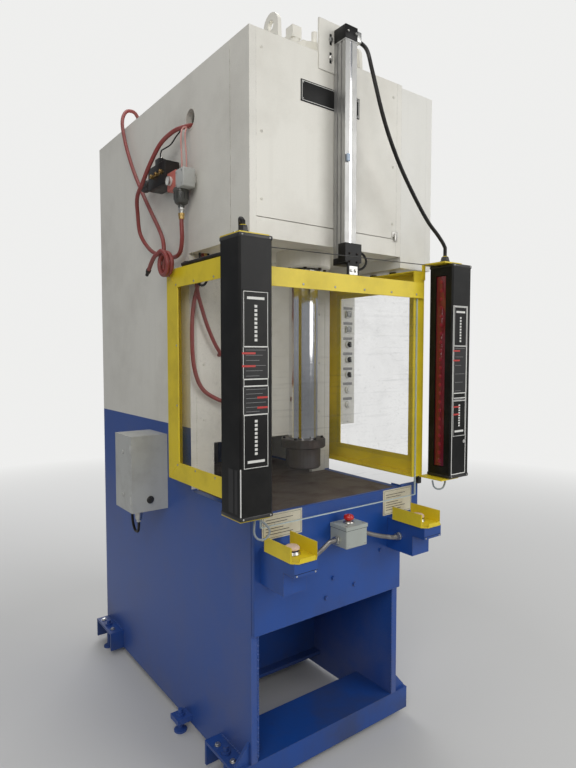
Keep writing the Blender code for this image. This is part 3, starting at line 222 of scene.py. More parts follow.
def grain_group() -> bpy.types.NodeTree:
    """Build the height of a rolled, sprayed or moulded surface."""
    graph, given, out = new_group("surface_grain", {"Scale": 300.0, "Waviness": 0.3}, ["Height"])
    place = graph.place()
    fine = graph.noise(place, given["Scale"], Detail=3.0, Roughness=0.5)
    broad = graph.math("MULTIPLY", graph.noise(place, 6.0, Detail=1.0), given["Waviness"])
    graph.link(graph.math("ADD", fine, broad), out["Height"])
    return graph.tree


def brushed_group() -> bpy.types.NodeTree:
    """Build the fine lines of a ground or extruded metal, along one axis."""
    graph, given, out = new_group(
        "brushed_lines", {"Along X": 1.0, "Along Y": 1.0, "Along Z": 1.0, "Fineness": 400.0},
        ["Lines", "Stain"])
    place = graph.place()
    scale = graph.node("CombineXYZ")
    for key, socket in zip(("Along X", "Along Y", "Along Z"), scale.inputs):
        graph.link(graph.math("MULTIPLY", given[key], given["Fineness"]), socket)
    spread = graph.node("VectorMath", operation="MULTIPLY")
    graph.link(place, spread.inputs[0])
    graph.link(scale.outputs[0], spread.inputs[1])
    graph.link(graph.noise(spread.outputs[0], 1.0, Detail=2.0, Roughness=0.6), out["Lines"])
    graph.link(graph.noise(place, 7.0, Detail=5.0, Roughness=0.65, Distortion=0.6), out["Stain"])
    return graph.tree


def scratch_group() -> bpy.types.NodeTree:
    """Build the mask of fine crossing scratches and smears on clear sheet."""
    graph, given, out = new_group("sheet_scratches", {"Scale": 5.0, "Amount": 0.5}, ["Scratch", "Smear"])
    place = graph.place()
    total: Optional[bpy.types.NodeSocket] = None
    for turn in (0.35, 1.2, 2.3):
        mapping = graph.node("Mapping")
        mapping.inputs["Rotation"].default_value = (turn, turn * 0.7, turn * 1.3)
        mapping.inputs["Scale"].default_value = (0.6, 14.0, 14.0)
        graph.link(place, mapping.inputs["Vector"])
        thin = graph.ramp(graph.noise(mapping.outputs[0], given["Scale"], Detail=2.0), 0.66, 0.70)
        total = thin if total is None else graph.math("MAXIMUM", total, thin)
    graph.link(graph.math("MULTIPLY", total, given["Amount"]), out["Scratch"])
    smear = graph.noise(place, 3.0, Detail=4.0, Roughness=0.6, Distortion=1.2)
    graph.link(graph.ramp(smear, 0.45, 0.75), out["Smear"])
    return graph.tree


@dataclass
class GroupShelf:
    """The shared node groups, each built once."""

    wear: bpy.types.NodeTree = field(default_factory=edge_wear_group)
    grime: bpy.types.NodeTree = field(default_factory=grime_group)
    grain: bpy.types.NodeTree = field(default_factory=grain_group)
    brushed: bpy.types.NodeTree = field(default_factory=brushed_group)
    scratches: bpy.types.NodeTree = field(default_factory=scratch_group)

    @staticmethod
    def place(graph: Graph, tree: bpy.types.NodeTree, **values: float) -> bpy.types.Node:
        """Put a group in a material with its own values.

        Args:
            graph: The material's graph.
            tree: The group to place.
            values: Its inputs by name, with spaces as underscores.

        Returns:
            The group node.
        """
        made = graph.tree.nodes.new("ShaderNodeGroup")
        made.node_tree = tree
        for key, value in values.items():
            made.inputs[key.replace("_", " ")].default_value = value
        return made


# Finishes

class Finish:
    """A finish that becomes one material, built the first time that it is asked for."""

    name: str

    def start(self, colour: Colour, roughness: float, metallic: float = 0.0
              ) -> tuple[bpy.types.Material, Graph, bpy.types.Node]:
        """Make the material with its shader.

        Args:
            colour: The base colour, linear.
            roughness: The shader's roughness.
            metallic: The shader's metallic value.

        Returns:
            The material, its graph and its Principled shader.
        """
        material = bpy.data.materials.new(f"{self.name}_finish")
        material.use_nodes = True
        material.diffuse_color = (*colour, 1.0)
        shader = material.node_tree.nodes["Principled BSDF"]
        shader.inputs["Base Color"].default_value = (*colour, 1.0)
        shader.inputs["Roughness"].default_value = roughness
        shader.inputs["Metallic"].default_value = metallic
        return material, Graph(material.node_tree), shader

    @staticmethod
    def bump(graph: Graph, shader: bpy.types.Node, height: bpy.types.NodeSocket, strength: float,
             distance: float) -> None:
        """Give the shader a bumped normal.

        Args:
            graph: The material's graph.
            shader: The Principled shader.
            height: The height to read.
            strength: How much of the bump shows.
            distance: The height of the bumps, in metres.
        """
        node = graph.node("Bump", Strength=strength, Distance=distance)
        graph.link(height, node.inputs["Height"])
        graph.link(node.outputs[0], shader.inputs["Normal"])

    def build(self, shelf: GroupShelf) -> bpy.types.Material:
        """Make the material."""
        raise NotImplementedError


@dataclass(frozen=True)
class Paint(Finish):
    """Sprayed paint over steel, rubbed off at edges and dirty where dust settles."""

    name: str
    colour: Colour
    dirt: Colour = (0.12, 0.10, 0.08)
    bare: Colour = (0.16, 0.14, 0.12)
    roughness: float = 0.42
    dirt_amount: float = 0.35
    dirt_scale: float = 3.0
    streaks: float = 0.35
    floor_reach: float = 0.35
    wear: float = 0.6
    wear_radius: float = 0.004
    low_colour: Optional[Colour] = None
    split: float = 0.0
    inner_split: float = 1.035
    middle: float = -0.021
    reach: float = 0.3745

    def build(self, shelf: GroupShelf) -> bpy.types.Material:
        """Make the paint, in two colours where it has a split height."""
        material, graph, shader = self.start(self.colour, self.roughness)
        grime = shelf.place(graph, shelf.grime, Amount=self.dirt_amount, Scale=self.dirt_scale,
                            Floor_Reach=self.floor_reach, Streaks=self.streaks)
        worn = shelf.place(graph, shelf.wear, Radius=self.wear_radius, Amount=self.wear)
        grain = shelf.place(graph, shelf.grain, Scale=420.0, Waviness=0.9)
        paint: object = self.colour
        if self.low_colour is not None:
            where = graph.node("SeparateXYZ")
            graph.link(graph.place(), where.inputs[0])
            aside = graph.math("ABSOLUTE", graph.math("SUBTRACT", where.outputs["X"], self.middle))
            outer = graph.ramp(aside, self.reach - 0.0006, self.reach)
            rise = graph.math("MULTIPLY", outer, self.split - self.inner_split)
            height = graph.math("SUBTRACT", where.outputs["Z"], graph.math("ADD", rise, self.inner_split))
            above = graph.ramp(height, -0.0006, 0.0006)
            paint = graph.blend(above, self.low_colour, self.colour)
        mottled = graph.math("MULTIPLY", graph.ramp(grime.outputs["Fine"], 0.3, 0.7), 0.10)
        shade = (0.25, 0.25, 0.27) if self.low_colour else tuple(c * 0.72 for c in self.colour)
        paint = graph.blend(mottled, paint, shade)
        dusty = graph.blend(grime.outputs["Mask"], paint, self.dirt)
        graph.link(graph.blend(worn.outputs["Mask"], dusty, self.bare), shader.inputs["Base Color"])
        rough = graph.math("MULTIPLY", grime.outputs["Mask"], 0.35)
        graph.link(graph.math("ADD", rough, self.roughness, clamp=True), shader.inputs["Roughness"])
        graph.link(graph.math("MULTIPLY", worn.outputs["Mask"], 0.6), shader.inputs["Metallic"])
        self.bump(graph, shader, grain.outputs["Height"], 0.12, 0.0006)
        return material


@dataclass(frozen=True)
class Metal(Finish):
    """Bare metal with lines along one axis, and stains."""

    name: str
    colour: Colour
    stain: Colour
    roughness: float = 0.3
    metallic: float = 1.0
    lines: Point = (1.0, 1.0, 0.02)
    fineness: float = 500.0
    stain_amount: float = 0.5
    bump_strength: float = 0.08

    def build(self, shelf: GroupShelf) -> bpy.types.Material:
        """Make the metal."""
        material, graph, shader = self.start(self.colour, self.roughness, self.metallic)
        brushed = shelf.place(graph, shelf.brushed, Along_X=self.lines[0], Along_Y=self.lines[1],
                              Along_Z=self.lines[2], Fineness=self.fineness)
        spots = graph.ramp(brushed.outputs["Stain"], 0.42, 0.7)
        amount = graph.math("MULTIPLY", spots, self.stain_amount)
        graph.link(graph.blend(amount, self.colour, self.stain), shader.inputs["Base Color"])
        spread = graph.math("MULTIPLY", graph.math("SUBTRACT", brushed.outputs["Lines"], 0.5), 0.25)
        rough = graph.math("ADD", spread, graph.math("MULTIPLY", amount, 0.25))
        graph.link(graph.math("ADD", rough, self.roughness, clamp=True), shader.inputs["Roughness"])
        self.bump(graph, shader, brushed.outputs["Lines"], self.bump_strength, 0.0004)
        return material


@dataclass(frozen=True)
class Moulded(Finish):
    """Moulded plastic or rubber, with a fine grain and a little dust."""

    name: str
    colour: Colour
    roughness: float = 0.42
    grain_scale: float = 900.0
    grain_depth: float = 0.15
    dust: Colour = (0.30, 0.28, 0.25)
    dust_amount: float = 0.10
    wear: float = 0.0
    gloss: float = 0.5

    def build(self, shelf: GroupShelf) -> bpy.types.Material:
        """Make the plastic."""
        material, graph, shader = self.start(self.colour, self.roughness)
        shader.inputs["Specular IOR Level"].default_value = self.gloss
        grime = shelf.place(graph, shelf.grime, Amount=self.dust_amount, Scale=9.0, Floor_Reach=0.05,
                            Streaks=0.3)
        grain = shelf.place(graph, shelf.grain, Scale=self.grain_scale, Waviness=0.1)
        colour = graph.blend(grime.outputs["Mask"], self.colour, self.dust)
        if self.wear:
            worn = shelf.place(graph, shelf.wear, Radius=0.002, Amount=self.wear, Scale=90.0)
            colour = graph.blend(worn.outputs["Mask"], colour,
                                 tuple(min(1.0, c * 2.2 + 0.06) for c in self.colour))
        graph.link(colour, shader.inputs["Base Color"])
        rough = graph.math("MULTIPLY", grime.outputs["Mask"], 0.5)
        graph.link(graph.math("ADD", rough, self.roughness, clamp=True), shader.inputs["Roughness"])
        self.bump(graph, shader, grain.outputs["Height"], self.grain_depth, 0.0002)
        return material


@dataclass(frozen=True)
class ClearSheet(Finish):
    """Clear plastic sheet, with fine scratches and hand smears."""

    name: str
    colour: Colour = (0.16, 0.17, 0.18)
    alpha: float = 0.030
    scratches: float = 0.05
    smears: float = 0.035
    roughness: float = 0.06

    def build(self, shelf: GroupShelf) -> bpy.types.Material:
        """Make the sheet: see-through, with a gloss."""
        material, graph, shader = self.start(self.colour, self.roughness)
        marks = shelf.place(graph, shelf.scratches, Scale=5.0, Amount=self.scratches)
        haze = graph.math("MULTIPLY", marks.outputs["Smear"], self.smears)
        cover = graph.math("ADD", graph.math("ADD", haze, marks.outputs["Scratch"]), self.alpha, clamp=True)
        graph.link(cover, shader.inputs["Alpha"])
        rough = graph.math("MULTIPLY", marks.outputs["Smear"], 0.12)
        graph.link(graph.math("ADD", rough, self.roughness), shader.inputs["Roughness"])
        shader.inputs["IOR"].default_value = 1.5
        material.surface_render_method = "BLENDED"
        return material


WHITE = (0.78, 0.765, 0.70)
BLUE = (0.010, 0.070, 0.330)

WHITE_PAINT = Paint("white_paint", WHITE, dirt=(0.30, 0.26, 0.20), dirt_amount=0.22, wear=0.35,
                    roughness=0.38)
SIDE_PAINT = Paint("side_plate_paint", WHITE, dirt=(0.20, 0.17, 0.13), dirt_amount=0.20, wear=0.5,
                   roughness=0.38,
                   low_colour=BLUE, split=1.29, streaks=0.25)
BLUE_PAINT = Paint("blue_paint", BLUE, dirt=(0.05, 0.05, 0.055), dirt_amount=0.35, wear=0.75, roughness=0.36,
                   bare=(0.13, 0.12, 0.11))
YELLOW_PAINT = Paint("guard_yellow_paint", (0.80, 0.62, 0.02), dirt=(0.22, 0.15, 0.03), dirt_amount=0.25,
                     wear=0.4,
                     wear_radius=0.002, roughness=0.38, dirt_scale=8.0)
CABINET_PAINT = Paint("cabinet_paint", (0.76, 0.755, 0.71), dirt=(0.32, 0.28, 0.22), dirt_amount=0.18,
                      wear=0.3,
                      wear_radius=0.002, roughness=0.35)
GREY_PAINT = Paint("box_grey_paint", (0.50, 0.51, 0.49), dirt=(0.20, 0.18, 0.15), dirt_amount=0.28, wear=0.3,
                   wear_radius=0.002, dirt_scale=10.0)
BOLSTER_STEEL = Metal("bolster_steel", (0.135, 0.105, 0.085), (0.060, 0.034, 0.022), roughness=0.58,
                      metallic=0.3,
                      lines=(0.02, 1.0, 1.0), fineness=420.0, stain_amount=0.8)
DARK_STEEL = Metal("dark_steel", (0.095, 0.085, 0.08), (0.05, 0.03, 0.02), roughness=0.42, metallic=0.8,
                   lines=(1.0, 1.0, 1.0), fineness=180.0, stain_amount=0.6)
CHROME = Metal("chromed_rod", (0.80, 0.80, 0.81), (0.55, 0.53, 0.50), roughness=0.10, lines=(0.05, 0.05, 1.0),
               fineness=600.0, stain_amount=0.15, bump_strength=0.03)
ALUMINIUM = Metal("anodised_aluminium", (0.42, 0.42, 0.41), (0.26, 0.25, 0.24), roughness=0.40, metallic=0.7,
                  lines=(1.0, 1.0, 0.02), fineness=800.0, stain_amount=0.3)
ZINC = Metal("zinc_plate", (0.58, 0.58, 0.56), (0.30, 0.27, 0.22), roughness=0.32, lines=(1.0, 1.0, 1.0),
             fineness=220.0, stain_amount=0.5)
BLACK_OXIDE = Metal("black_oxide", (0.035, 0.034, 0.034), (0.09, 0.06, 0.04), roughness=0.38, metallic=0.85,
                    lines=(1.0, 1.0, 1.0), fineness=240.0, stain_amount=0.3)
BRASS = Metal("brass", (0.62, 0.42, 0.16), (0.28, 0.17, 0.06), roughness=0.28, lines=(1.0, 1.0, 1.0),
              fineness=260.0, stain_amount=0.4)
CURTAIN_BLACK = Moulded("curtain_black", (0.005, 0.005, 0.005), roughness=0.42, grain_scale=500.0, wear=0.2,
                        dust_amount=0.03, gloss=0.25)
BLACK_PLASTIC = Moulded("black_plastic", (0.016, 0.016, 0.017), roughness=0.38, wear=0.2)
LABEL_BLACK = Moulded("label_black", (0.008, 0.008, 0.008), roughness=0.5, dust_amount=0.02, gloss=0.25)
LABEL_WHITE = Moulded("label_white", (0.74, 0.74, 0.71), roughness=0.5, dust_amount=0.08)
LABEL_RED = Moulded("label_red", (0.52, 0.035, 0.03), roughness=0.45)
LABEL_GREY = Moulded("label_grey", (0.26, 0.26, 0.26), roughness=0.5)
LABEL_DARK = Moulded("label_dark_grey", (0.030, 0.030, 0.031), roughness=0.5, dust_amount=0.03, gloss=0.3)
LEAD_GREY = Moulded("lead_grey", (0.26, 0.30, 0.33), roughness=0.4, dust_amount=0.15)
PLACARD = Moulded("placard_cream", (0.70, 0.66, 0.52), roughness=0.45, dust=(0.28, 0.22, 0.14),
                  dust_amount=0.25)
INK = Moulded("placard_ink", (0.06, 0.055, 0.05), roughness=0.5)
PALM_CREAM = Moulded("palm_button_cream", (0.70, 0.52, 0.42), roughness=0.35)
OPERATOR_WHITE = Moulded("operator_white", (0.72, 0.72, 0.68), roughness=0.35)
LAMP_GREY = Moulded("lamp_grey", (0.33, 0.34, 0.33), roughness=0.25)
STOP_RED = Moulded("stop_red", (0.58, 0.022, 0.015), roughness=0.25)
BOX_GREY = Moulded("stop_box_grey", (0.40, 0.44, 0.41), roughness=0.42, dust_amount=0.25, wear=0.2)
RED_HOSE = Moulded("red_hose", (0.27, 0.050, 0.045), roughness=0.40, grain_scale=700.0, grain_depth=0.35,
                   dust=(0.24, 0.15, 0.13), dust_amount=0.5)
BLACK_HOSE = Moulded("black_hose", (0.009, 0.008, 0.008), roughness=0.45, dust_amount=0.08, gloss=0.3)
METAL_CONDUIT = Metal("flexible_conduit", (0.36, 0.35, 0.34), (0.14, 0.12, 0.10), roughness=0.35,
                      metallic=0.9,
                      lines=(1.0, 1.0, 1.0), fineness=150.0)
CURTAIN_WINDOW = Moulded("curtain_window", (0.16, 0.012, 0.02), roughness=0.08, grain_depth=0.0,
                         dust_amount=0.03)
LAMP_BLUE = Moulded("sensor_blue_white", (0.42, 0.52, 0.66), roughness=0.3)
LENS_RED = Moulded("curtain_lens", (0.26, 0.015, 0.03), roughness=0.12, grain_depth=0.0, dust_amount=0.02)
PINK_TUBE = Moulded("pilot_tube_pink", (0.62, 0.30, 0.27), roughness=0.32)
REGULATOR_RED = Moulded("regulator_red", (0.52, 0.13, 0.10), roughness=0.4, dust_amount=0.15)
BOWL_GREY = Moulded("filter_bowl_grey", (0.070, 0.072, 0.066), roughness=0.3, dust_amount=0.15)
CLEAR = ClearSheet("clear_sheet")
CLEAR_SIDE = ClearSheet("clear_side_sheet", alpha=0.035, smears=0.05)
# Opaque pale blue-green for the clear sheets' edges: their own edge tint, lightened into a painted highlight
# of the polished edge.
CLEAR_EDGE_TINT_AND_HIGHLIGHT = Moulded("clear_sheet_edge_tint_and_highlight", (0.50, 0.60, 0.62), roughness=0.15, dust_amount=0.05)


@dataclass
class PaintShop:
    """Keeps the material of each finish, and dresses nodes and pieces."""

    shelf: GroupShelf
    made: dict[str, bpy.types.Material] = field(default_factory=dict)

    def material(self, finish: Finish) -> bpy.types.Material:
        """Return the finish's material, made the first time."""
        if finish.name not in self.made:
            self.made[finish.name] = finish.build(self.shelf)
        return self.made[finish.name]

    def dress(self, finish: Finish, *nodes: str) -> None:
        """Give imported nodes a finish."""
        for node in nodes:
            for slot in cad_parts[node].material_slots:
                slot.material = self.material(finish)
            LOG.info("%s wears %s", node, finish.name)


# Bmesh making

def box_mesh(low: Sequence[float], high: Sequence[float], bevel: float = 0.0,
             segments: int = 2) -> bmesh.types.BMesh:
    """Make a box, with rounded edges where a width is given.

    Args:
        low: Its lowest corner.
        high: Its highest corner.
        bevel: The width of the rounding.
        segments: The rounding's steps.

    Returns:
        The box.
    """
    bm = bmesh.new()
    a, b = Vector(low), Vector(high)
    scale = Matrix.Diagonal((*(b - a), 1.0))
    bmesh.ops.create_cube(bm, size=1.0, matrix=Matrix.Translation((a + b) / 2) @ scale)
    if bevel:
        bmesh.ops.bevel(bm, geom=bm.edges[:], offset=bevel, segments=segments, affect="EDGES", profile=0.5,
                        material=-1)
    return bm


def turned_mesh(profile: Sequence[tuple[float, float]], place: Point, axis: Axis = Axis.Z,
                steps: int = 32) -> bmesh.types.BMesh:
    """Spin a profile of (radius, height) round an axis through a place.

    Args:
        profile: The profile's points.
        place: Where the axis starts.
        axis: The axis.
        steps: The number of sides.

    Returns:
        The turned shape; a profile that doesn't start on the axis makes a ring.
    """
    bm = bmesh.new()
    verts = [bm.verts.new((r, 0.0, h)) for r, h in profile]
    edges = [bm.edges.new(pair) for pair in zip(verts, verts[1:])]
    if profile[0][0] > 0.0:
        edges.append(bm.edges.new((verts[-1], verts[0])))
    bmesh.ops.spin(bm, geom=verts + edges, cent=(0, 0, 0), axis=(0, 0, 1), dvec=(0, 0, 0),
                   angle=2 * math.pi, steps=steps, use_merge=True, use_duplicate=False)
    bmesh.ops.remove_doubles(bm, verts=bm.verts, dist=1e-6)
    bmesh.ops.recalc_face_normals(bm, faces=bm.faces)
    bmesh.ops.transform(bm, matrix=Matrix.Translation(place) @ axis.turn(), verts=bm.verts)
    return bm


def prism_mesh(radius: float, height: float, place: Point, axis: Axis, sides: int = 6,
               turn: float = 0.0) -> bmesh.types.BMesh:
    """Make an upright prism with a chamfered top, such as a screw's head.

    Args:
        radius: The radius at the corners.
        height: Its height.
        place: The middle of its base.
        axis: The way its top faces.
        sides: Its number of sides.
        turn: Its turn about the axis, in radians.

    Returns:
        The prism.
    """
    bm = bmesh.new()
    bmesh.ops.create_cone(bm, cap_ends=True, segments=sides, radius1=radius, radius2=radius, depth=height,
                          matrix=Matrix.Translation((0, 0, height / 2)) @ Matrix.Rotation(turn, 4, "Z"))
    top = [e for e in bm.edges if all(v.co.z > height * 0.9 for v in e.verts)]
    bmesh.ops.bevel(bm, geom=top, offset=radius * 0.14, segments=1, affect="EDGES", profile=0.5, material=-1)
    bmesh.ops.transform(bm, matrix=Matrix.Translation(place) @ axis.turn(), verts=bm.verts)
    return bm


def merged(shapes: Iterable[bmesh.types.BMesh]) -> bmesh.types.BMesh:
    """Put several shapes in one bmesh.

    Args:
        shapes: The shapes, which are used up.

    Returns:
        One bmesh of them all.
    """
    whole = bmesh.new()
    for bm in shapes:
        mesh = bpy.data.meshes.new("shape")
        bm.to_mesh(mesh)
        bm.free()
        whole.from_mesh(mesh)
        bpy.data.meshes.remove(mesh)
    return whole


def rib_ring(low: Point, high: Point, turns: Sequence[float], bevel: float,
             place: Matrix) -> bmesh.types.BMesh:
    """Stand the same rib round an axis at several turns.

    Args:
        low: The lowest corner of the rib at no turn.
        high: Its highest corner.
        turns: Its turns, in radians.
        bevel: The width of the rib's rounding.
        place: Where the axis stands.

    Returns:
        The ribs.
    """
    ribs = []
    for turn in turns:
        rib = box_mesh(low, high, bevel, 1)
        bmesh.ops.transform(rib, matrix=place @ Matrix.Rotation(turn, 4, "Z"), verts=rib.verts)
        ribs.append(rib)
    return merged(ribs)


@dataclass
class Builder:
    """What every sub-assembly needs: the paint shop, and the way a piece joins the scene."""

    shop: PaintShop

    def add(self, name: str, bm: bmesh.types.BMesh, finish: Finish, body: str = "frame") -> bpy.types.Object:
        """Make a piece of a bmesh, which rides on a body.

        Args:
            name: The piece's name.
            bm: Its shape, which is used up.
            finish: What it is made of.
            body: The body that it rides on.

        Returns:
            The new object.
        """
        mesh = bpy.data.meshes.new(name)
        bm.to_mesh(mesh)
        bm.free()
        mesh.shade_smooth()
        mesh.set_sharp_from_angle(angle=math.radians(32))
        mesh.materials.append(self.shop.material(finish))
        piece = bpy.data.objects.new(name, mesh)
        bpy.context.scene.collection.objects.link(piece)
        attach(piece, body)
        LOG.info("%s rides on %s", name, body)
        return piece

    def screws(self, name: str, places: Iterable[Point], axis: Axis, radius: float = 0.006,
               finish: Finish = ZINC, body: str = "frame", style: str = "hex") -> None:
        """Set a row of screws on a face.

        Args:
            name: The piece's name.
            places: The middle of each screw, on the face.
            axis: The way the heads face.
            radius: The head's radius.
            finish: What they are made of.
            body: The body that they ride on.
            style: "hex", "button" or "socket".
        """
        shapes = []
        for i, place in enumerate(places):
            if style == "hex":
                washer = [(0, 0), (radius * 1.35, 0), (radius * 1.35, radius * 0.22), (0, radius * 0.22)]
                shapes.append(turned_mesh(washer, place, axis, 16))
                shapes.append(prism_mesh(radius * 1.12, radius * 0.95, place, axis, 6, i * 0.7))
            elif style == "button":
                dome = [(0, 0), (radius, 0), (radius * 0.96, radius * 0.3), (radius * 0.7, radius * 0.5),
                        (radius * 0.42, radius * 0.56), (radius * 0.42, radius * 0.2), (0, radius * 0.2)]
                shapes.append(turned_mesh(dome, place, axis, 16))
            else:
                cap = [(0, 0), (radius, 0), (radius, radius * 1.1), (radius * 0.88, radius * 1.25),
                       (radius * 0.5, radius * 1.25), (radius * 0.5, radius * 0.6), (0, radius * 0.6)]
                shapes.append(turned_mesh(cap, place, axis, 16))
        self.add(name, merged(shapes), finish, body)


# Sizes that several sub-assemblies share

LEFT = -0.396
RIGHT = 0.354
MIDDLE = (LEFT + RIGHT) / 2
FRONT = -0.638
BACK = 0.862
RAM_Y = -0.458
BED_TOP = 1.030
BED_FACE = FRONT - 0.0186
HEAD_BOTTOM = 2.000
FRAME_TOP = 2.700
CHANNEL_TOP = 0.1205
PALM_BOX_SETBACK = 0.016
CONDUIT_Y = (FRONT - 0.062, FRONT - 0.085)
CONDUIT_Z = (0.890, 0.850)
STOP_X = (LEFT + 0.352, LEFT + 0.460)


def weld_mesh(start: Point, end: Point, radius: float = 0.005, pitch: float = 0.004) -> bmesh.types.BMesh:
    """Lay a rippled weld bead from one point to another.

    Args:
        start: Where it starts.
        end: Where it ends.
        radius: The bead's radius.
        pitch: The distance from ripple to ripple.

    Returns:
        The bead.
    """
    a, b = Vector(start), Vector(end)
    run = b - a
    steps = max(2, int(run.length / pitch))
    bm = bmesh.new()
    bmesh.ops.create_circle(bm, cap_ends=True, segments=7, radius=radius * 0.6)
    face = next(iter(bm.faces))
    for i in range(steps):
        grown = bmesh.ops.extrude_discrete_faces(bm, faces=[face])
        face = grown["faces"][0]
        bmesh.ops.translate(bm, verts=face.verts, vec=(0, 0, run.length / steps))
        swell = 1.0 + 0.35 * math.sin(i * 2.4) if i < steps - 1 else 0.6
        centre = face.calc_center_median()
        for vert in face.verts:
            offset = vert.co - centre
            vert.co = centre + offset.normalized() * radius * swell
    bmesh.ops.holes_fill(bm, edges=[e for e in bm.edges if e.is_boundary], sides=0)
    bmesh.ops.recalc_face_normals(bm, faces=bm.faces)
    turn = Vector((0, 0, 1)).rotation_difference(run).to_matrix().to_4x4()
    bmesh.ops.transform(bm, matrix=Matrix.Translation(a) @ turn, verts=bm.verts)
    return bm


def bar_mesh(points: Sequence[Point], radius: float, sides: int = 10, ribs: float = 0.0) -> bmesh.types.BMesh:
    """Sweep a round section along a path.

    Args:
        points: The path.
        radius: The section's radius.
        sides: The section's sides.
        ribs: How much thinner every other section is, as a share.

    Returns:
        The closed tube.
    """
    places = [Vector(p) for p in points]
    bm = bmesh.new()
    rings = []
    side = None
    for i, place in enumerate(places):
        along = (places[min(i + 1, len(places) - 1)] - places[max(i - 1, 0)]).normalized()
        if side is None:
            side = along.orthogonal().normalized()
        side = (side - along * side.dot(along)).normalized()
        up = along.cross(side)
        frame_at = Matrix((side, up, along)).transposed().to_4x4()
        section = radius * (1.0 - ribs * (i % 2))
        made = bmesh.ops.create_circle(bm, segments=sides, radius=section,
                                       matrix=Matrix.Translation(place) @ frame_at)
        rings.append(made["verts"])
    for first, second in zip(rings, rings[1:]):
        edges = [e for e in bm.edges if all(v in first for v in e.verts) or all(v in second for v in e.verts)]
        bmesh.ops.bridge_loops(bm, edges=edges)
    bmesh.ops.contextual_create(bm, geom=rings[0])
    bmesh.ops.contextual_create(bm, geom=rings[-1])
    bmesh.ops.recalc_face_normals(bm, faces=bm.faces)
    return bm


def flat_frame(low: Point, high: Point, line: float) -> bmesh.types.BMesh:
    """Make a thin rectangular border between two corners of a slab.

    Args:
        low: The lowest corner.
        high: The highest corner; the slab's thin axis is its shortest.
        line: The border's width.

    Returns:
        The border.
    """
    thin = min(range(3), key=lambda k: high[k] - low[k])
    first, second = [k for k in range(3) if k != thin]
    bars = []
    for axis, other in ((first, second), (second, first)):
        for end in (low, high):
            a, b = list(low), list(high)
            inner = line if end is low else -line
            a[other], b[other] = sorted((end[other], end[other] + inner))
            if axis == second:
                a[axis] += line
                b[axis] -= line
            bars.append(box_mesh(a, b))
    return merged(bars)


# Sub-assemblies

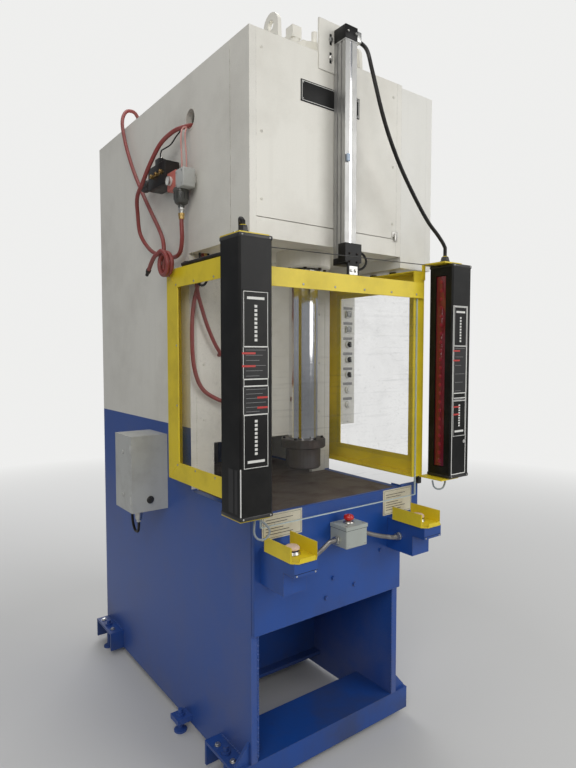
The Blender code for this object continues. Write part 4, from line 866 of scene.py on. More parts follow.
@dataclass
class CFrame(Builder):
    """The C-shaped side plates, the base channels, the bed and its placards."""

    hose_hole: Point = (LEFT, -0.208, 2.525)
    hose_hole_radius: float = 0.045
    weld: float = 0.005
    placards: tuple = ((-0.362, -0.183, 0.936, 1.028), (0.244, 0.417, 0.922, 1.028))
    margin: float = 0.016
    row_pitch: float = 0.0105
    row_reach: tuple = (0.82, 0.64, 0.74, 0.52, 0.70)

    def welds(self) -> None:
        """Lay the beads of the base channels, the bed plate and the throat."""
        base, throat, front = [], [], []
        for node in ("base_front_channel", "base_rear_channel"):
            low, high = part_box(node)
            for x in (LEFT - 0.001, RIGHT + 0.001):
                base.append(weld_mesh((x, low[1] + 0.01, 0.121), (x, high[1] - 0.01, 0.121), self.weld))
        thin = self.weld * 0.8
        for x in (LEFT + 0.029, RIGHT - 0.029):
            front.append(weld_mesh((x, FRONT + 0.001, BED_TOP - 0.430), (x, FRONT + 0.001, 0.135), thin))
            throat.append(weld_mesh((x, -0.186, BED_TOP + 0.012), (x, -0.186, HEAD_BOTTOM - 0.012), thin))
        self.add("frame_welds", merged(base), BLUE_PAINT)
        self.add("throat_welds", merged(throat), WHITE_PAINT)
        self.add("front_welds", merged(front), BLUE_PAINT)

    def hose_rim(self) -> None:
        """Line the hose hole with a painted rim."""
        r = self.hose_hole_radius
        rim = [(r - 0.008, -0.027), (r, -0.027), (r, 0.0002), (r + 0.001, 0.0002), (r + 0.001, 0.0010),
               (r - 0.007, 0.0010), (r - 0.008, 0.0002)]
        self.add("hose_hole_rim", turned_mesh(rim, self.hose_hole, Axis.LEFT, 40), WHITE_PAINT)

    def screws_of_plates(self) -> None:
        """Set the placards' rivets, the throat wall's screws and the base's bolts."""
        places = [(x, BED_FACE - 0.0022, z) for x0, x1, z0, z1 in self.placards
                  for x in (x0 + 0.007, x1 - 0.007) for z in (z0 + 0.007, z1 - 0.007)]
        self.screws("placard_rivets", places, Axis.FRONT, 0.0022, style="button")
        low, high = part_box("throat_rear_wall")
        wall = [(x, low[1], z) for x in (low[0] + 0.035, high[0] - 0.035) for z in (1.32, 1.55, 1.78, 1.95)]
        self.screws("throat_wall_screws", wall, Axis.FRONT, 0.006, WHITE_PAINT, style="button")
        ys = (FRONT + 0.055, FRONT + 0.165, 0.655, 0.79)
        feet = [(x, y, CHANNEL_TOP) for x in (LEFT - 0.045, RIGHT + 0.045) for y in ys]
        self.screws("base_bolts", feet, Axis.Z, 0.009)

    def placard_plates(self) -> None:
        """Add the bed's side wing and the two cream placards, with ruled lines in place of words."""
        wing = box_mesh((RIGHT + 0.0003, -0.6564, 0.908), (RIGHT + 0.106, -0.6504, 1.040), 0.0012, 2)
        web = box_mesh((RIGHT + 0.0003, -0.6506, 0.912), (RIGHT + 0.0063, FRONT + 0.040, 1.036), 0.001, 1)
        self.add("bed_side_wing", merged([wing, web]), BLUE_PAINT)
        y = BED_FACE
        for i, (x0, x1, z0, z1) in enumerate(self.placards, 1):
            self.add(f"placard_{i}", box_mesh((x0, y - 0.0022, z0), (x1, y, z1), 0.0006, 1), PLACARD)
            lines = [flat_frame((x0 + 0.005, y - 0.0025, z0 + 0.005), (x1 - 0.005, y - 0.0021, z1 - 0.005),
                                0.0012)]
            left, width = x0 + self.margin, x1 - x0 - 2 * self.margin
            for count in range(math.ceil((z1 - z0 - 0.038) / self.row_pitch)):
                row = z1 - 0.022 - count * self.row_pitch
                right = left + width * self.row_reach[count % len(self.row_reach)]
                lines.append(box_mesh((left, y - 0.0025, row - 0.0012), (right, y - 0.0021, row + 0.0012)))
            self.add(f"placard_lines_{i}", merged(lines), INK)

    def build(self) -> None:
        """Dress the frame and add what is fixed to it."""
        self.shop.dress(SIDE_PAINT, "side_plate_left", "side_plate_right")
        self.shop.dress(BLUE_PAINT, "base_front_channel", "base_rear_channel", "bed_front_plate",
                        "bed_cross_plate")
        self.shop.dress(WHITE_PAINT, "throat_rear_wall", "rear_cover")
        self.shop.dress(BOLSTER_STEEL, "bolster")
        self.welds()
        self.hose_rim()
        self.placard_plates()
        self.screws_of_plates()


@dataclass
class Head(Builder):
    """The head's covers, with the bare nameplate, the catch and the guard cylinder's bracket."""

    plate: tuple = (-0.176, 0.112, 2.505, 2.582)
    catch_x: float = 0.335

    def nameplate(self) -> None:
        """Fix the bare black nameplate, with its light border."""
        x0, x1, z0, z1 = self.plate
        y = FRONT - 0.0024
        self.add("nameplate", box_mesh((x0, y, z0), (x1, FRONT + 0.0003, z1), 0.0008, 2), LABEL_BLACK)
        border = flat_frame((x0 + 0.004, y - 0.0004, z0 + 0.004), (x1 - 0.004, y + 0.0002, z1 - 0.004),
                            0.0018)
        self.add("nameplate_border", border, LABEL_WHITE)
        corners = [(x, y, z) for x in (x0 + 0.010, x1 - 0.010) for z in (z0 + 0.010, z1 - 0.010)]
        self.screws("nameplate_rivets", corners, Axis.FRONT, 0.0026, style="button")

    def cover_fittings(self) -> None:
        """Add the cover's screws, its catch and the beads of the lifting eyes."""
        places = [(x, FRONT + 0.0003, z) for x in (LEFT + 0.050, RIGHT - 0.050) for z in (2.13, 2.36, 2.64)]
        self.screws("cover_screws", places, Axis.FRONT, 0.0055, WHITE_PAINT, style="button")
        x = self.catch_x
        plate = box_mesh((x - 0.034, FRONT - 0.0035, 2.076), (x, FRONT + 0.0003, 2.100), 0.001, 1)
        tongue = box_mesh((x - 0.024, FRONT - 0.009, 2.060), (x - 0.010, FRONT - 0.0035, 2.090), 0.0018, 2)
        self.add("cover_catch", merged([plate, tongue]), ZINC)
        z = FRAME_TOP + 0.001
        beads = [weld_mesh((x + side, FRONT + 0.062, z), (x + side, FRONT + 0.158, z), 0.006)
                 for x in (LEFT + 0.165, RIGHT - 0.181) for side in (-0.001, 0.017)]
        self.add("lifting_eye_welds", merged(beads), WHITE_PAINT)

    def bracket_fittings(self) -> None:
        """Add the guard cylinder's bracket bolts, and thin black strips that paint the shade inside the slots
        of its plate.
        """
        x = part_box("guard_cylinder")[1][0] - 0.100
        y = FRONT - 0.0049
        heights = (2.672, 2.738)
        # Black strips on the plate's face are painted shade for the slots' openings.
        slots = [box_mesh((x - 0.005, y, z), (x + 0.005, y + 0.0014, z + 0.040), 0.0006, 1) for z in heights]
        self.add("bracket_slot_shade", merged(slots), LABEL_BLACK)
        self.screws("bracket_bolts", [(x, y, z + 0.020) for z in heights], Axis.FRONT, 0.007)

    def rear_screws(self) -> None:
        """Set the screws round the rear cover and on the top plate."""
        low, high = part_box("rear_cover")
        rows = [low[2] + 0.04 + i * (high[2] - low[2] - 0.08) / 9 for i in range(10)]
        places = [(x, BACK, z) for x in (low[0] + 0.022, high[0] - 0.022) for z in rows]
        places += [(MIDDLE, BACK, low[2] + 0.04), (MIDDLE, BACK, high[2] - 0.04)]
        self.screws("rear_cover_screws", places, Axis.Y, 0.006, style="button")
        low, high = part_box("head_top_plate")
        top = [(x, y, FRAME_TOP) for x in (low[0] + 0.030, high[0] - 0.030)
               for y in (-0.45, -0.15, 0.15, 0.45)]
        self.screws("top_plate_screws", top, Axis.Z, 0.007, WHITE_PAINT)

    def build(self) -> None:
        """Dress the head and add its small parts."""
        self.shop.dress(WHITE_PAINT, "head_bottom_plate", "head_front_cover", "head_top_plate")
        self.nameplate()
        self.cover_fittings()
        self.bracket_fittings()
        self.rear_screws()


@dataclass
class MainCylinder(Builder):
    """The main cylinder with its ram, gland and port."""

    gland_circle: float = 0.086
    adapter_circle: float = 0.078
    cap_circle: float = 0.082

    @staticmethod
    def ring_of(count: int, radius: float, z: float, turn: float) -> list[Point]:
        """Spread places evenly round the ram's axis."""
        angles = [turn + i * math.tau / count for i in range(count)]
        return [(MIDDLE + radius * math.cos(a), RAM_Y + radius * math.sin(a), z) for a in angles]

    def build(self) -> None:
        """Dress the cylinder and add its screws, wiper and port nut."""
        self.shop.dress(WHITE_PAINT, "cylinder_barrel", "cylinder_gland")
        self.shop.dress(CHROME, "ram_rod")
        self.shop.dress(DARK_STEEL, "tool_adapter")
        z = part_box("cylinder_gland")[0][2]
        self.screws("gland_screws", self.ring_of(8, self.gland_circle, z, 0.2), Axis.DOWN, 0.007, BLACK_OXIDE,
                    style="socket")
        wiper = [(0.0605, z - 0.004), (0.068, z - 0.004), (0.071, z - 0.001), (0.071, z + 0.0005),
                 (0.0605, z + 0.0005)]
        self.add("rod_wiper", turned_mesh(wiper, (MIDDLE, RAM_Y, 0.0), steps=48), BLACK_PLASTIC)
        flange = self.ring_of(6, self.adapter_circle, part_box("tool_adapter")[1][2], 0.5)
        self.screws("adapter_screws", flange, Axis.Z, 0.006, BLACK_OXIDE, "ram", "socket")
        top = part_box("cylinder_barrel")[1][2] - 0.085
        self.screws("cylinder_cap_bolts", self.ring_of(8, self.cap_circle, top, 0.1), Axis.Z, 0.010,
                    WHITE_PAINT)
        port = [(0.0, 0.0), (0.026, 0.0), (0.026, 0.018), (0.020, 0.022), (0.0, 0.022)]
        self.add("port_nut", turned_mesh(port, (MIDDLE - 0.050, RAM_Y, top + 0.001), steps=6), ZINC)


@dataclass
class GuardDoor(Builder):
    """The lifting guard door, its rodless cylinder and its carriage."""

    cylinder_x: float = LEFT + 0.4035
    half_width: float = 0.0285
    sensor_z: float = 2.318
    edge: float = 0.0007

    def cylinder_ends(self) -> None:
        """Cap the cylinder's ends and add its band, its sensor and its top port."""
        y0, y1 = (corner[1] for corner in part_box("guard_cylinder"))
        x = self.cylinder_x
        x0, x1 = x - self.half_width, x + self.half_width
        for name, z0, z1 in (("top", 2.7448, 2.7955), ("bottom", 1.9295, 1.9555)):
            cap = box_mesh((x0 - 0.0022, y0 - 0.0012, z0), (x1 + 0.0022, y1 + 0.0003, z1), 0.003, 3)
            self.add(f"guard_cylinder_cap_{name}", cap, CURTAIN_BLACK)
            places = [(side, y0 - 0.0012, (z0 + z1) / 2) for side in (x0 + 0.009, x1 - 0.009)]
            self.screws(f"guard_cylinder_cap_{name}_screws", places, Axis.FRONT, 0.0042, style="socket")
        band = box_mesh((x - 0.0048, y0 + 0.0015, 1.957), (x + 0.0048, y0 + 0.0035, 2.744), 0.0006, 1)
        self.add("guard_cylinder_band", band, CHROME)
        z = self.sensor_z
        body = box_mesh((x0 + 0.004, y0 - 0.010, z - 0.014), (x0 + 0.019, y0 - 0.0008, z + 0.014), 0.0025, 2)
        self.add("door_sensor", body, LAMP_BLUE)
        port = box_mesh((x1 + 0.003, y0 + 0.007, 2.752), (x1 + 0.030, y1 - 0.019, 2.792), 0.004, 3)
        self.add("guard_cylinder_port", port, ZINC)

    def carriage(self) -> None:
        """Bolt the carriage to the door's bar."""
        low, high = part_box("guard_carriage")
        x, y, z = (low[0] + high[0]) / 2, low[1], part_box("guard_door_bar")[1][2]
        top = [(x + dx, y, z + dz) for dx in (-0.019, 0.019) for dz in (0.050, 0.080)]
        self.screws("carriage_screws", top, Axis.FRONT, 0.0042, BLACK_OXIDE, "guard_door", "socket")
        bolts = [(x + dx, y - 0.001, z + 0.018) for dx in (-0.010, 0.010)]
        self.screws("door_bar_bolts", bolts, Axis.FRONT, 0.006, ZINC, "guard_door")
        tab = box_mesh((x - 0.020, y - 0.001, z + 0.002), (x + 0.020, y + 0.0003, z + 0.034), 0.0004, 1)
        self.add("door_bar_washer", tab, ZINC, "guard_door")

    def panel(self) -> None:
        """Edge the clear panel with pale strips that paint the polished edges' highlight, and screw it under
        the bar.
        """
        low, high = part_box("guard_door_panel")
        e = self.edge
        spans = ((low[0] - e, low[0] + 0.0018, low[2], high[2] - 0.028),
                 (high[0] - 0.0018, high[0] + e, low[2], high[2] - 0.028),
                 (low[0] - e, high[0] + e, low[2] - e, low[2] + 0.0018))
        # These strips are painted highlight: the sheet's edge tint made pale where the polished edges catch
        # the light.
        sides = [box_mesh((x0, low[1] - e, z0), (x1, high[1] + e, z1), 0.0003, 1) for x0, x1, z0, z1 in spans]
        self.add("door_panel_edges", merged(sides), CLEAR_EDGE_TINT_AND_HIGHLIGHT, "guard_door")
        bar_low, bar_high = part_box("guard_door_bar")
        xs = [bar_low[0] + 0.045 + i * (bar_high[0] - bar_low[0] - 0.09) / 5 for i in range(6)]
        places = [(x, bar_low[1], bar_low[2] + 0.014) for x in xs]
        self.screws("door_panel_screws", places, Axis.FRONT, 0.0045, ZINC, "guard_door", "button")
        rear = [(x, high[1], bar_low[2] + 0.014) for x in xs]
        self.screws("door_panel_nuts", rear, Axis.Y, 0.0045, ZINC, "guard_door")

    def build(self) -> None:
        """Dress the door and add its fittings."""
        self.shop.dress(ALUMINIUM, "guard_cylinder")
        self.shop.dress(CURTAIN_BLACK, "guard_carriage")
        self.shop.dress(YELLOW_PAINT, "guard_door_bar")
        self.shop.dress(CLEAR, "guard_door_panel")
        self.cylinder_ends()
        self.carriage()
        self.panel()


@dataclass
class SideGuards(Builder):
    """The yellow window guards beside the throat, with their clear sheets."""

    band: float = 0.075
    rear_band: float = 0.095

    def one_side(self, side: str, outward: int) -> None:
        """Finish one guard.

        Args:
            side: "left" or "right".
            outward: -1 for the left one, 1 for the right one.
        """
        node = f"side_guard_{side}"
        low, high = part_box(f"{node}_panel")
        face = (LEFT - 0.062) if outward < 0 else (RIGHT + 0.062)
        axis = Axis.LEFT if outward < 0 else Axis.X
        y0, y1, z0, z1 = low[1] + 0.010, high[1] - 0.010, low[2] + 0.010, high[2] - 0.010
        rows = [(face, y, z) for z in (z0, z1) for y in (y0, (y0 * 2 + y1) / 3, (y0 + y1 * 2) / 3, y1)]
        rows += [(face, y, z) for y in (y0, y1) for z in ((z0 * 2 + z1) / 3, (z0 + z1 * 2) / 3)]
        self.screws(f"{node}_screws", rows, axis, 0.0045, style="button")
        outer = face - outward * 0.0005
        beads = [weld_mesh((outer, inner_y, inner_z), (outer, end_y, end_z), 0.0022, 0.003)
                 for inner_y, end_y in ((FRONT - 0.078 + self.band, FRONT - 0.074),
                                        (FRONT + 0.530 - self.rear_band, FRONT + 0.526))
                 for inner_z, end_z in ((1.081 + self.band, 1.083), (1.935 - self.band, 1.933))]
        self.add(f"{node}_mitre_welds", merged(beads), YELLOW_PAINT)
        bolts = [(face - outward * 0.032, y, 1.9352) for y in (-0.60, -0.36, -0.14)]
        self.screws(f"{node}_fixing_bolts", bolts, Axis.Z, 0.006)

    def build(self) -> None:
        """Dress both guards."""
        self.shop.dress(YELLOW_PAINT, "side_guard_left", "side_guard_right")
        self.shop.dress(CLEAR_SIDE, "side_guard_left_panel", "side_guard_right_panel")
        self.one_side("left", -1)
        self.one_side("right", 1)
        foot = box_mesh((RIGHT + 0.040, -0.716, 1.048), (RIGHT + 0.060, -0.690, 1.0765), 0.002, 2)
        self.add("side_guard_right_foot", foot, BLACK_PLASTIC)


class LabelTone(Enum):
    """The colours of a curtain's printed strip."""

    LINE = "line"
    RED = "red"
    GREY = "grey"
    FAINT = "faint"


@dataclass
class LightCurtains(Builder):
    """The two uprights of the light curtain, with their windows and plain label strips."""

    front: float = -0.84
    lift: float = 0.0006
    rows: int = 6
    bars: int = 9
    lenses: int = 22
    first_lens: float = 1.150
    lens_pitch: float = 0.0352

    def strip(self, side: str, x0: float, x1: float, heights: dict[str, float], flip: bool) -> None:
        """Print one upright's label: outlined panels, grey fields and bars, with no words.

        Args:
            side: "left" or "right".
            x0: The label's left edge.
            x1: Its right edge.
            heights: The heights of its divisions, from the top.
            flip: Whether its red bars change sides.
        """
        y0, y1 = self.front - self.lift, self.front + 0.0002
        parts: dict[LabelTone, list[bmesh.types.BMesh]] = {tone: [] for tone in LabelTone}
        lines, reds, greys, faints = parts.values()
        keys = ("top", "upper", "band_top", "band_low", "lower", "base")
        top, upper, middle_top, middle_low, lower, base = (heights[key] for key in keys)
        line = 0.0038
        for high, low in ((top, upper), (lower, base), (middle_top, middle_low)):
            lines.append(flat_frame((x0, y0 - 0.0002, low), (x1, y1, high), line))
        lines.append(flat_frame((x0, y0 - 0.0002, base), (x1, y1, top), line * 0.5))
        for high, low in ((upper, middle_top), (middle_low, lower)):
            greys.append(box_mesh((x0 + line, y0, low + 0.002), (x1 - line, y1, high - 0.002)))
            for i in range(self.rows):
                z = high - 0.008 - i * (high - low - 0.016) / (self.rows - 1)
                faints.append(box_mesh((x0 + 0.010, y0 - 0.0003, z - 0.0006),
                                       (x1 - 0.010 - 0.012 * (i % 3), y0, z + 0.0006)))
        width = x1 - x0
        for z in (upper - 0.018, upper - 0.057):
            reds.append(box_mesh((x0 - 0.004, y0 - 0.0004, z - 0.003), (x0 + width * 0.48, y0, z + 0.003)))
        for z in (middle_low - 0.034, middle_low - 0.065):
            start, end = (x0 + width * 0.55, x1 - 0.003) if flip else (x0 + 0.003, x0 + width * 0.5)
            reds.append(box_mesh((start, y0 - 0.0004, z - 0.003), (end, y0, z + 0.003)))
        centre = (x0 + x1) / 2
        for high, low, head in ((top, upper, top - 0.022), (lower, base, base + 0.022)):
            lines.append(box_mesh((centre - width * 0.34, y0 - 0.0003, head - 0.004),
                                  (centre + width * 0.34, y0, head + 0.004)))
            if head > (high + low) / 2:
                inner_high, inner_low = head - 0.018, low + 0.016
            else:
                inner_high, inner_low = high - 0.016, head + 0.018
            pitch = (inner_high - inner_low) / self.bars
            for i in range(self.bars):
                z = inner_low + pitch * (i + 0.5)
                lines.append(box_mesh((centre - 0.005, y0 - 0.0003, z - pitch * 0.32),
                                      (centre + 0.005, y0, z + pitch * 0.32)))
        finishes = {LabelTone.LINE: LABEL_WHITE, LabelTone.RED: LABEL_RED, LabelTone.GREY: LABEL_DARK,
                    LabelTone.FAINT: LABEL_GREY}
        for tone, shapes in parts.items():
            self.add(f"curtain_{side}_label_{tone.value}", merged(shapes), finishes[tone])

    def window(self, side: str, inner_face: float, outward: int) -> None:
        """Set the dark red window of one upright, with its row of lenses.

        Args:
            side: "left" or "right".
            inner_face: The X of the face that looks across the opening.
            outward: -1 for the left upright, 1 for the right one.
        """
        front = inner_face + outward * 0.0035
        x0, x1 = sorted((front, inner_face + outward * 0.0119))
        y = (self.front - 0.7215) / 2
        pane = box_mesh((x0, y - 0.0245, 1.129), (x1, y + 0.0245, 1.912), 0.0015, 2)
        self.add(f"curtain_{side}_window", pane, CURTAIN_WINDOW)
        axis = Axis.X if outward < 0 else Axis.LEFT
        lens = [(0.0, 0.0), (0.0085, 0.0), (0.0085, 0.0008), (0.0070, 0.0016), (0.0035, 0.0022),
                (0.0, 0.0024)]
        lenses = [turned_mesh(lens, (front, y, self.first_lens + i * self.lens_pitch), axis, 14)
                  for i in range(self.lenses)]
        self.add(f"curtain_{side}_lenses", merged(lenses), LENS_RED)

    def ends(self, side: str, xs: tuple[float, float], arm_x: float) -> None:
        """Cap one upright and add the gland of its cable.

        Args:
            side: "left" or "right".
            xs: The upright's left and right faces.
            arm_x: Where the gland stands.
        """
        for label, z0, z1 in (("top", 1.9450, 1.9592), ("foot", 1.0818, 1.0960)):
            cap = box_mesh((xs[0] - 0.0008, self.front - 0.0008, z0), (xs[1] + 0.0008, -0.7207, z1), 0.004, 3)
            self.add(f"curtain_{side}_{label}_cap", cap, BLACK_PLASTIC)
            corners = [(x, self.front - 0.0008, (z0 + z1) / 2) for x in (xs[0] + 0.010, xs[1] - 0.010)]
            self.screws(f"curtain_{side}_{label}_screws", corners, Axis.FRONT, 0.0030, style="button")
        gland = [(0.0112, 0.0), (0.019, 0.0), (0.019, 0.012), (0.0165, 0.014), (0.0165, 0.020),
                 (0.0135, 0.028), (0.0112, 0.028)]
        shape = turned_mesh(gland, (arm_x, FRONT - 0.140, 1.9652), steps=6)
        self.add(f"curtain_{side}_gland", shape, BLACK_PLASTIC)
        bolts = [(x, FRONT - 0.150, 1.9648) for x in (arm_x - 0.036, arm_x + 0.036)]
        self.screws(f"curtain_{side}_arm_bolts", bolts, Axis.Z, 0.005)

    def build(self) -> None:
        """Dress both uprights."""
        self.shop.dress(CURTAIN_BLACK, "light_curtain_left", "light_curtain_right")
        left = {"top": 1.787, "upper": 1.616, "band_top": 1.521, "band_low": 1.496, "lower": 1.412,
                "base": 1.243}
        right = {"top": 1.787, "upper": 1.625, "band_top": 1.436, "band_low": 1.412, "lower": 1.405,
                 "base": 1.255}
        self.strip("left", -0.552, -0.459, left, True)
        self.strip("right", 0.454, 0.537, right, False)
        edge = box_mesh((-0.5632, -0.8405, 1.097), (-0.5600, -0.8375, 1.245), 0.0004, 1)
        self.add("curtain_left_edge_strip", edge, LABEL_WHITE)
        outline = flat_frame((0.448, -0.8405, 1.098), (0.541, -0.8398, 1.790), 0.0036)
        self.add("curtain_right_outline", outline, LABEL_WHITE)
        mark = [(0.0035, 0.0), (0.0065, 0.0), (0.0065, 0.0008), (0.0035, 0.0008)]
        ring = turned_mesh(mark, (0.530, -0.8398, 1.232), Axis.FRONT, 20)
        self.add("curtain_right_mark", ring, LABEL_WHITE)
        strips = [box_mesh((-0.5634, y0, 1.102), (-0.5628, y1, 1.240))
                  for y0, y1 in ((-0.823, -0.807), (-0.798, -0.770))]
        self.add("curtain_left_side_strips", merged(strips), LABEL_DARK)
        self.window("left", -0.442, -1)
        self.window("right", 0.442, 1)
        self.ends("left", (-0.563, -0.442), LEFT - 0.115)
        self.ends("right", (0.442, 0.563), RIGHT + 0.115)


@dataclass
class Stations(Builder):
    """The palm buttons, the emergency stop and the conduits between them."""

    palm_base: float = 0.913

    def palm(self, side: str) -> None:
        """Finish one palm station: its mushroom, its ring, its box's seam and the screws.

        Args:
            side: "left" or "right".
        """
        self.shop.dress(YELLOW_PAINT, f"palm_guard_{side}")
        self.shop.dress(BLUE_PAINT, f"palm_box_{side}")
        low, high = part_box(f"palm_button_{side}")
        cx, cy = (low[0] + high[0]) / 2, (low[1] + high[1]) / 2
        top = high[2]
        cap = [(0.0, top - 0.0139), (0.0240, top - 0.0139), (0.0262, top - 0.0122), (0.0266, top - 0.0100),
               (0.0258, top - 0.0070), (0.0232, top - 0.0040), (0.0180, top - 0.0014), (0.0100, top),
               (0.0, top + 0.0004)]
        self.add(f"palm_mushroom_{side}", turned_mesh(cap, (cx, cy, 0.0), steps=48), PALM_CREAM,
                 f"palm_{side}")
        collar = self.palm_base + 0.016
        ring = [(0.0215, collar - 0.0116), (0.0285, collar - 0.0116), (0.0292, collar - 0.0090),
                (0.0270, collar - 0.0040), (0.0255, collar - 0.0005), (0.0215, collar - 0.0005)]
        self.add(f"palm_ring_{side}", turned_mesh(ring, (cx, cy, 0.0), steps=40), ZINC)
        box_low, box_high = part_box(f"palm_box_{side}")
        x0, y, x1 = box_low[0], box_low[1], box_high[0]
        if side == "left":
            x1 -= PALM_BOX_SETBACK
        else:
            x0 += PALM_BOX_SETBACK
        seam = box_mesh((x0 - 0.0004, y - 0.0004, 0.8755), (x1 + 0.0004, y + 0.0002, 0.8770))
        self.add(f"palm_box_seam_{side}", seam, LABEL_BLACK)
        places = [(x, y, 0.8705) for x in (x0 + 0.010, x1 - 0.010)]
        self.screws(f"palm_box_screws_{side}", places, Axis.FRONT, 0.0032, style="button")
        fixings = [(x, -0.712, self.palm_base + 0.004) for x in (cx - 0.045, cx + 0.045)]
        self.screws(f"palm_guard_screws_{side}", fixings, Axis.Z, 0.0042, style="button")

    def stop(self) -> None:
        """Finish the emergency stop: the lid's seam and screws, the ring and the turning marks."""
        self.shop.dress(BOX_GREY, "stop_box")
        self.shop.dress(STOP_RED, "stop_button")
        x0, x1 = STOP_X
        y0, y1 = FRONT - 0.111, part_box("stop_box")[1][1]
        spans = ((x0 - 0.0002, x1 + 0.0002, y0 + 0.0010), (x0 - 0.0002, x0 + 0.0010, y1 - 0.0010),
                 (x1 - 0.0010, x1 + 0.0002, y1 - 0.0010))
        seam = [box_mesh((a, y0 - 0.0002, 0.9318), (b, back, 0.9334)) for a, b, back in spans]
        self.add("stop_box_gasket", merged(seam), BLACK_PLASTIC)
        corners = [(x, y, 0.9475) for x in (x0 + 0.011, x1 - 0.011) for y in (y0 + 0.011, y1 - 0.011)]
        self.screws("stop_box_screws", corners, Axis.Z, 0.0038, style="button")
        lobes = [(x, y0 + 0.0002, 0.873) for x in (x0 + 0.012, x1 - 0.012)]
        self.screws("stop_box_front_screws", lobes, Axis.FRONT, 0.0030, style="button")
        cx, cy = (x0 + x1) / 2, (y0 + BED_FACE) / 2
        ring = [(0.0143, 0.9478), (0.0215, 0.9478), (0.0220, 0.9500), (0.0200, 0.9535), (0.0160, 0.9552),
                (0.0143, 0.9552)]
        self.add("stop_ring", turned_mesh(ring, (cx, cy, 0.0), steps=36), ZINC)
        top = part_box("stop_button")[1][2]
        arrows = []
        for i in range(3):
            arc = bmesh.new()
            turned = Matrix.Rotation(i * math.tau / 3, 4, "Z") @ Matrix.Translation((0.0105, 0, 0))
            bmesh.ops.create_circle(arc, cap_ends=True, segments=4, radius=0.0026, matrix=turned)
            grown = bmesh.ops.extrude_face_region(arc, geom=arc.faces[:])
            moved = [g for g in grown["geom"] if isinstance(g, bmesh.types.BMVert)]
            bmesh.ops.translate(arc, verts=moved, vec=(0, 0, 0.0016))
            bmesh.ops.translate(arc, verts=arc.verts, vec=(cx, cy, top - 0.0024))
            bmesh.ops.recalc_face_normals(arc, faces=arc.faces)
            arrows.append(arc)
        self.add("stop_turn_marks", merged(arrows), LABEL_WHITE, "stop")

    def connectors(self) -> None:
        """Put the silver nuts of the conduits on the boxes."""
        nut = [(0.0096, 0.0), (0.0165, 0.0), (0.0165, 0.006), (0.0150, 0.008), (0.0150, 0.0156),
               (0.0130, 0.0162), (0.0096, 0.0162)]
        left_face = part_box("palm_box_left")[1][0] - PALM_BOX_SETBACK
        right_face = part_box("palm_box_right")[0][0] + PALM_BOX_SETBACK
        stop_y, palm_y = CONDUIT_Y
        stop_z, palm_z = CONDUIT_Z
        shapes = [turned_mesh(nut, (STOP_X[0], stop_y, stop_z), Axis.LEFT, 8),
                  turned_mesh(nut, (STOP_X[1], stop_y, stop_z), Axis.X, 8),
                  turned_mesh(nut, (left_face, palm_y, palm_z), Axis.X, 8),
                  turned_mesh(nut, (right_face, palm_y, palm_z), Axis.LEFT, 8)]
        self.add("conduit_nuts", merged(shapes), ZINC)

    def build(self) -> None:
        """Dress the stations and add their parts and the bed plate's bolts."""
        self.shop.dress(PALM_CREAM, "palm_button_left", "palm_button_right")
        for side in ("left", "right"):
            self.palm(side)
        self.stop()
        self.connectors()
        bolts = [(x, -0.6563, z) for x, z in ((0.230, 0.781), (0.084, 0.673), (-0.064, 0.654),
                                              (-0.028, 0.724))]
        self.screws("bed_plate_bolts", bolts, Axis.FRONT, 0.007, BLUE_PAINT)


@dataclass
class ButtonStrip(Builder):
    """The upright strip of lamps, selector switches and push buttons on the right side guard."""

    pitch: float = 0.0745
    top: float = 1.789
    bezel: float = 0.0155
    operators: int = 7
    lamps: int = 2

    def build(self) -> None:
        """Dress the strip and finish each operator."""
        self.shop.dress(CABINET_PAINT, "button_strip")
        self.shop.dress(BLACK_PLASTIC, "selector_1", "selector_2", "selector_3")
        self.shop.dress(OPERATOR_WHITE, "push_button_1", "push_button_2")
        cx = RIGHT + 0.11015
        front = FRONT + 0.440
        r = self.bezel
        lamps, bezels, plates = [], [], []
        for i in range(self.operators):
            z = self.top - i * self.pitch
            plates.append(box_mesh((cx - 0.030, front - 0.0012, z + 0.0225),
                                   (cx + 0.030, front + 0.0002, z + 0.0355), 0.0004, 1))
            if i < self.lamps:
                lens = r - 0.002
                lamps.append(box_mesh((cx - lens, front - 0.0135, z - lens),
                                      (cx + lens, front - 0.0095, z + lens),
                                      0.003, 3))
                bezels.append(flat_frame((cx - r - 0.0012, front - 0.0112, z - r - 0.0012),
                                         (cx + r + 0.0012, front - 0.0008, z + r + 0.0012), 0.0016))
            else:
                ring = [(r * 0.70, -0.0005), (r + 0.0035, -0.0005), (r + 0.0035, 0.003),
                        (r + 0.001, 0.0085), (r * 0.80, 0.0098), (r * 0.70, 0.0098)]
                bezels.append(turned_mesh(ring, (cx, front, z), Axis.FRONT, 32))
        self.add("strip_lamp_lenses", merged(lamps), LAMP_GREY)
        self.add("strip_bezels", merged(bezels), OPERATOR_WHITE)
        self.add("strip_legend_plates", merged(plates), LABEL_GREY)
        for i in range(1, 4):
            z = self.top - (i + 1) * self.pitch
            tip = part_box(f"selector_{i}")[0][1]
            lever = box_mesh((cx - 0.0045, tip - 0.0008, z - 0.0135), (cx + 0.0045, tip + 0.011, z + 0.0135),
                             0.0022, 3)
            self.add(f"selector_lever_{i}", lever, BLACK_PLASTIC, f"switch_{i}")
            mark = box_mesh((cx - 0.0008, tip - 0.0014, z + 0.003), (cx + 0.0008, tip - 0.0006, z + 0.012))
            self.add(f"selector_mark_{i}", mark, LABEL_WHITE, f"switch_{i}")
        low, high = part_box("button_strip")
        ends = [(cx, front, z) for z in (low[2] + 0.012, high[2] - 0.012)]
        self.screws("strip_screws", ends, Axis.FRONT, 0.0045, style="button")


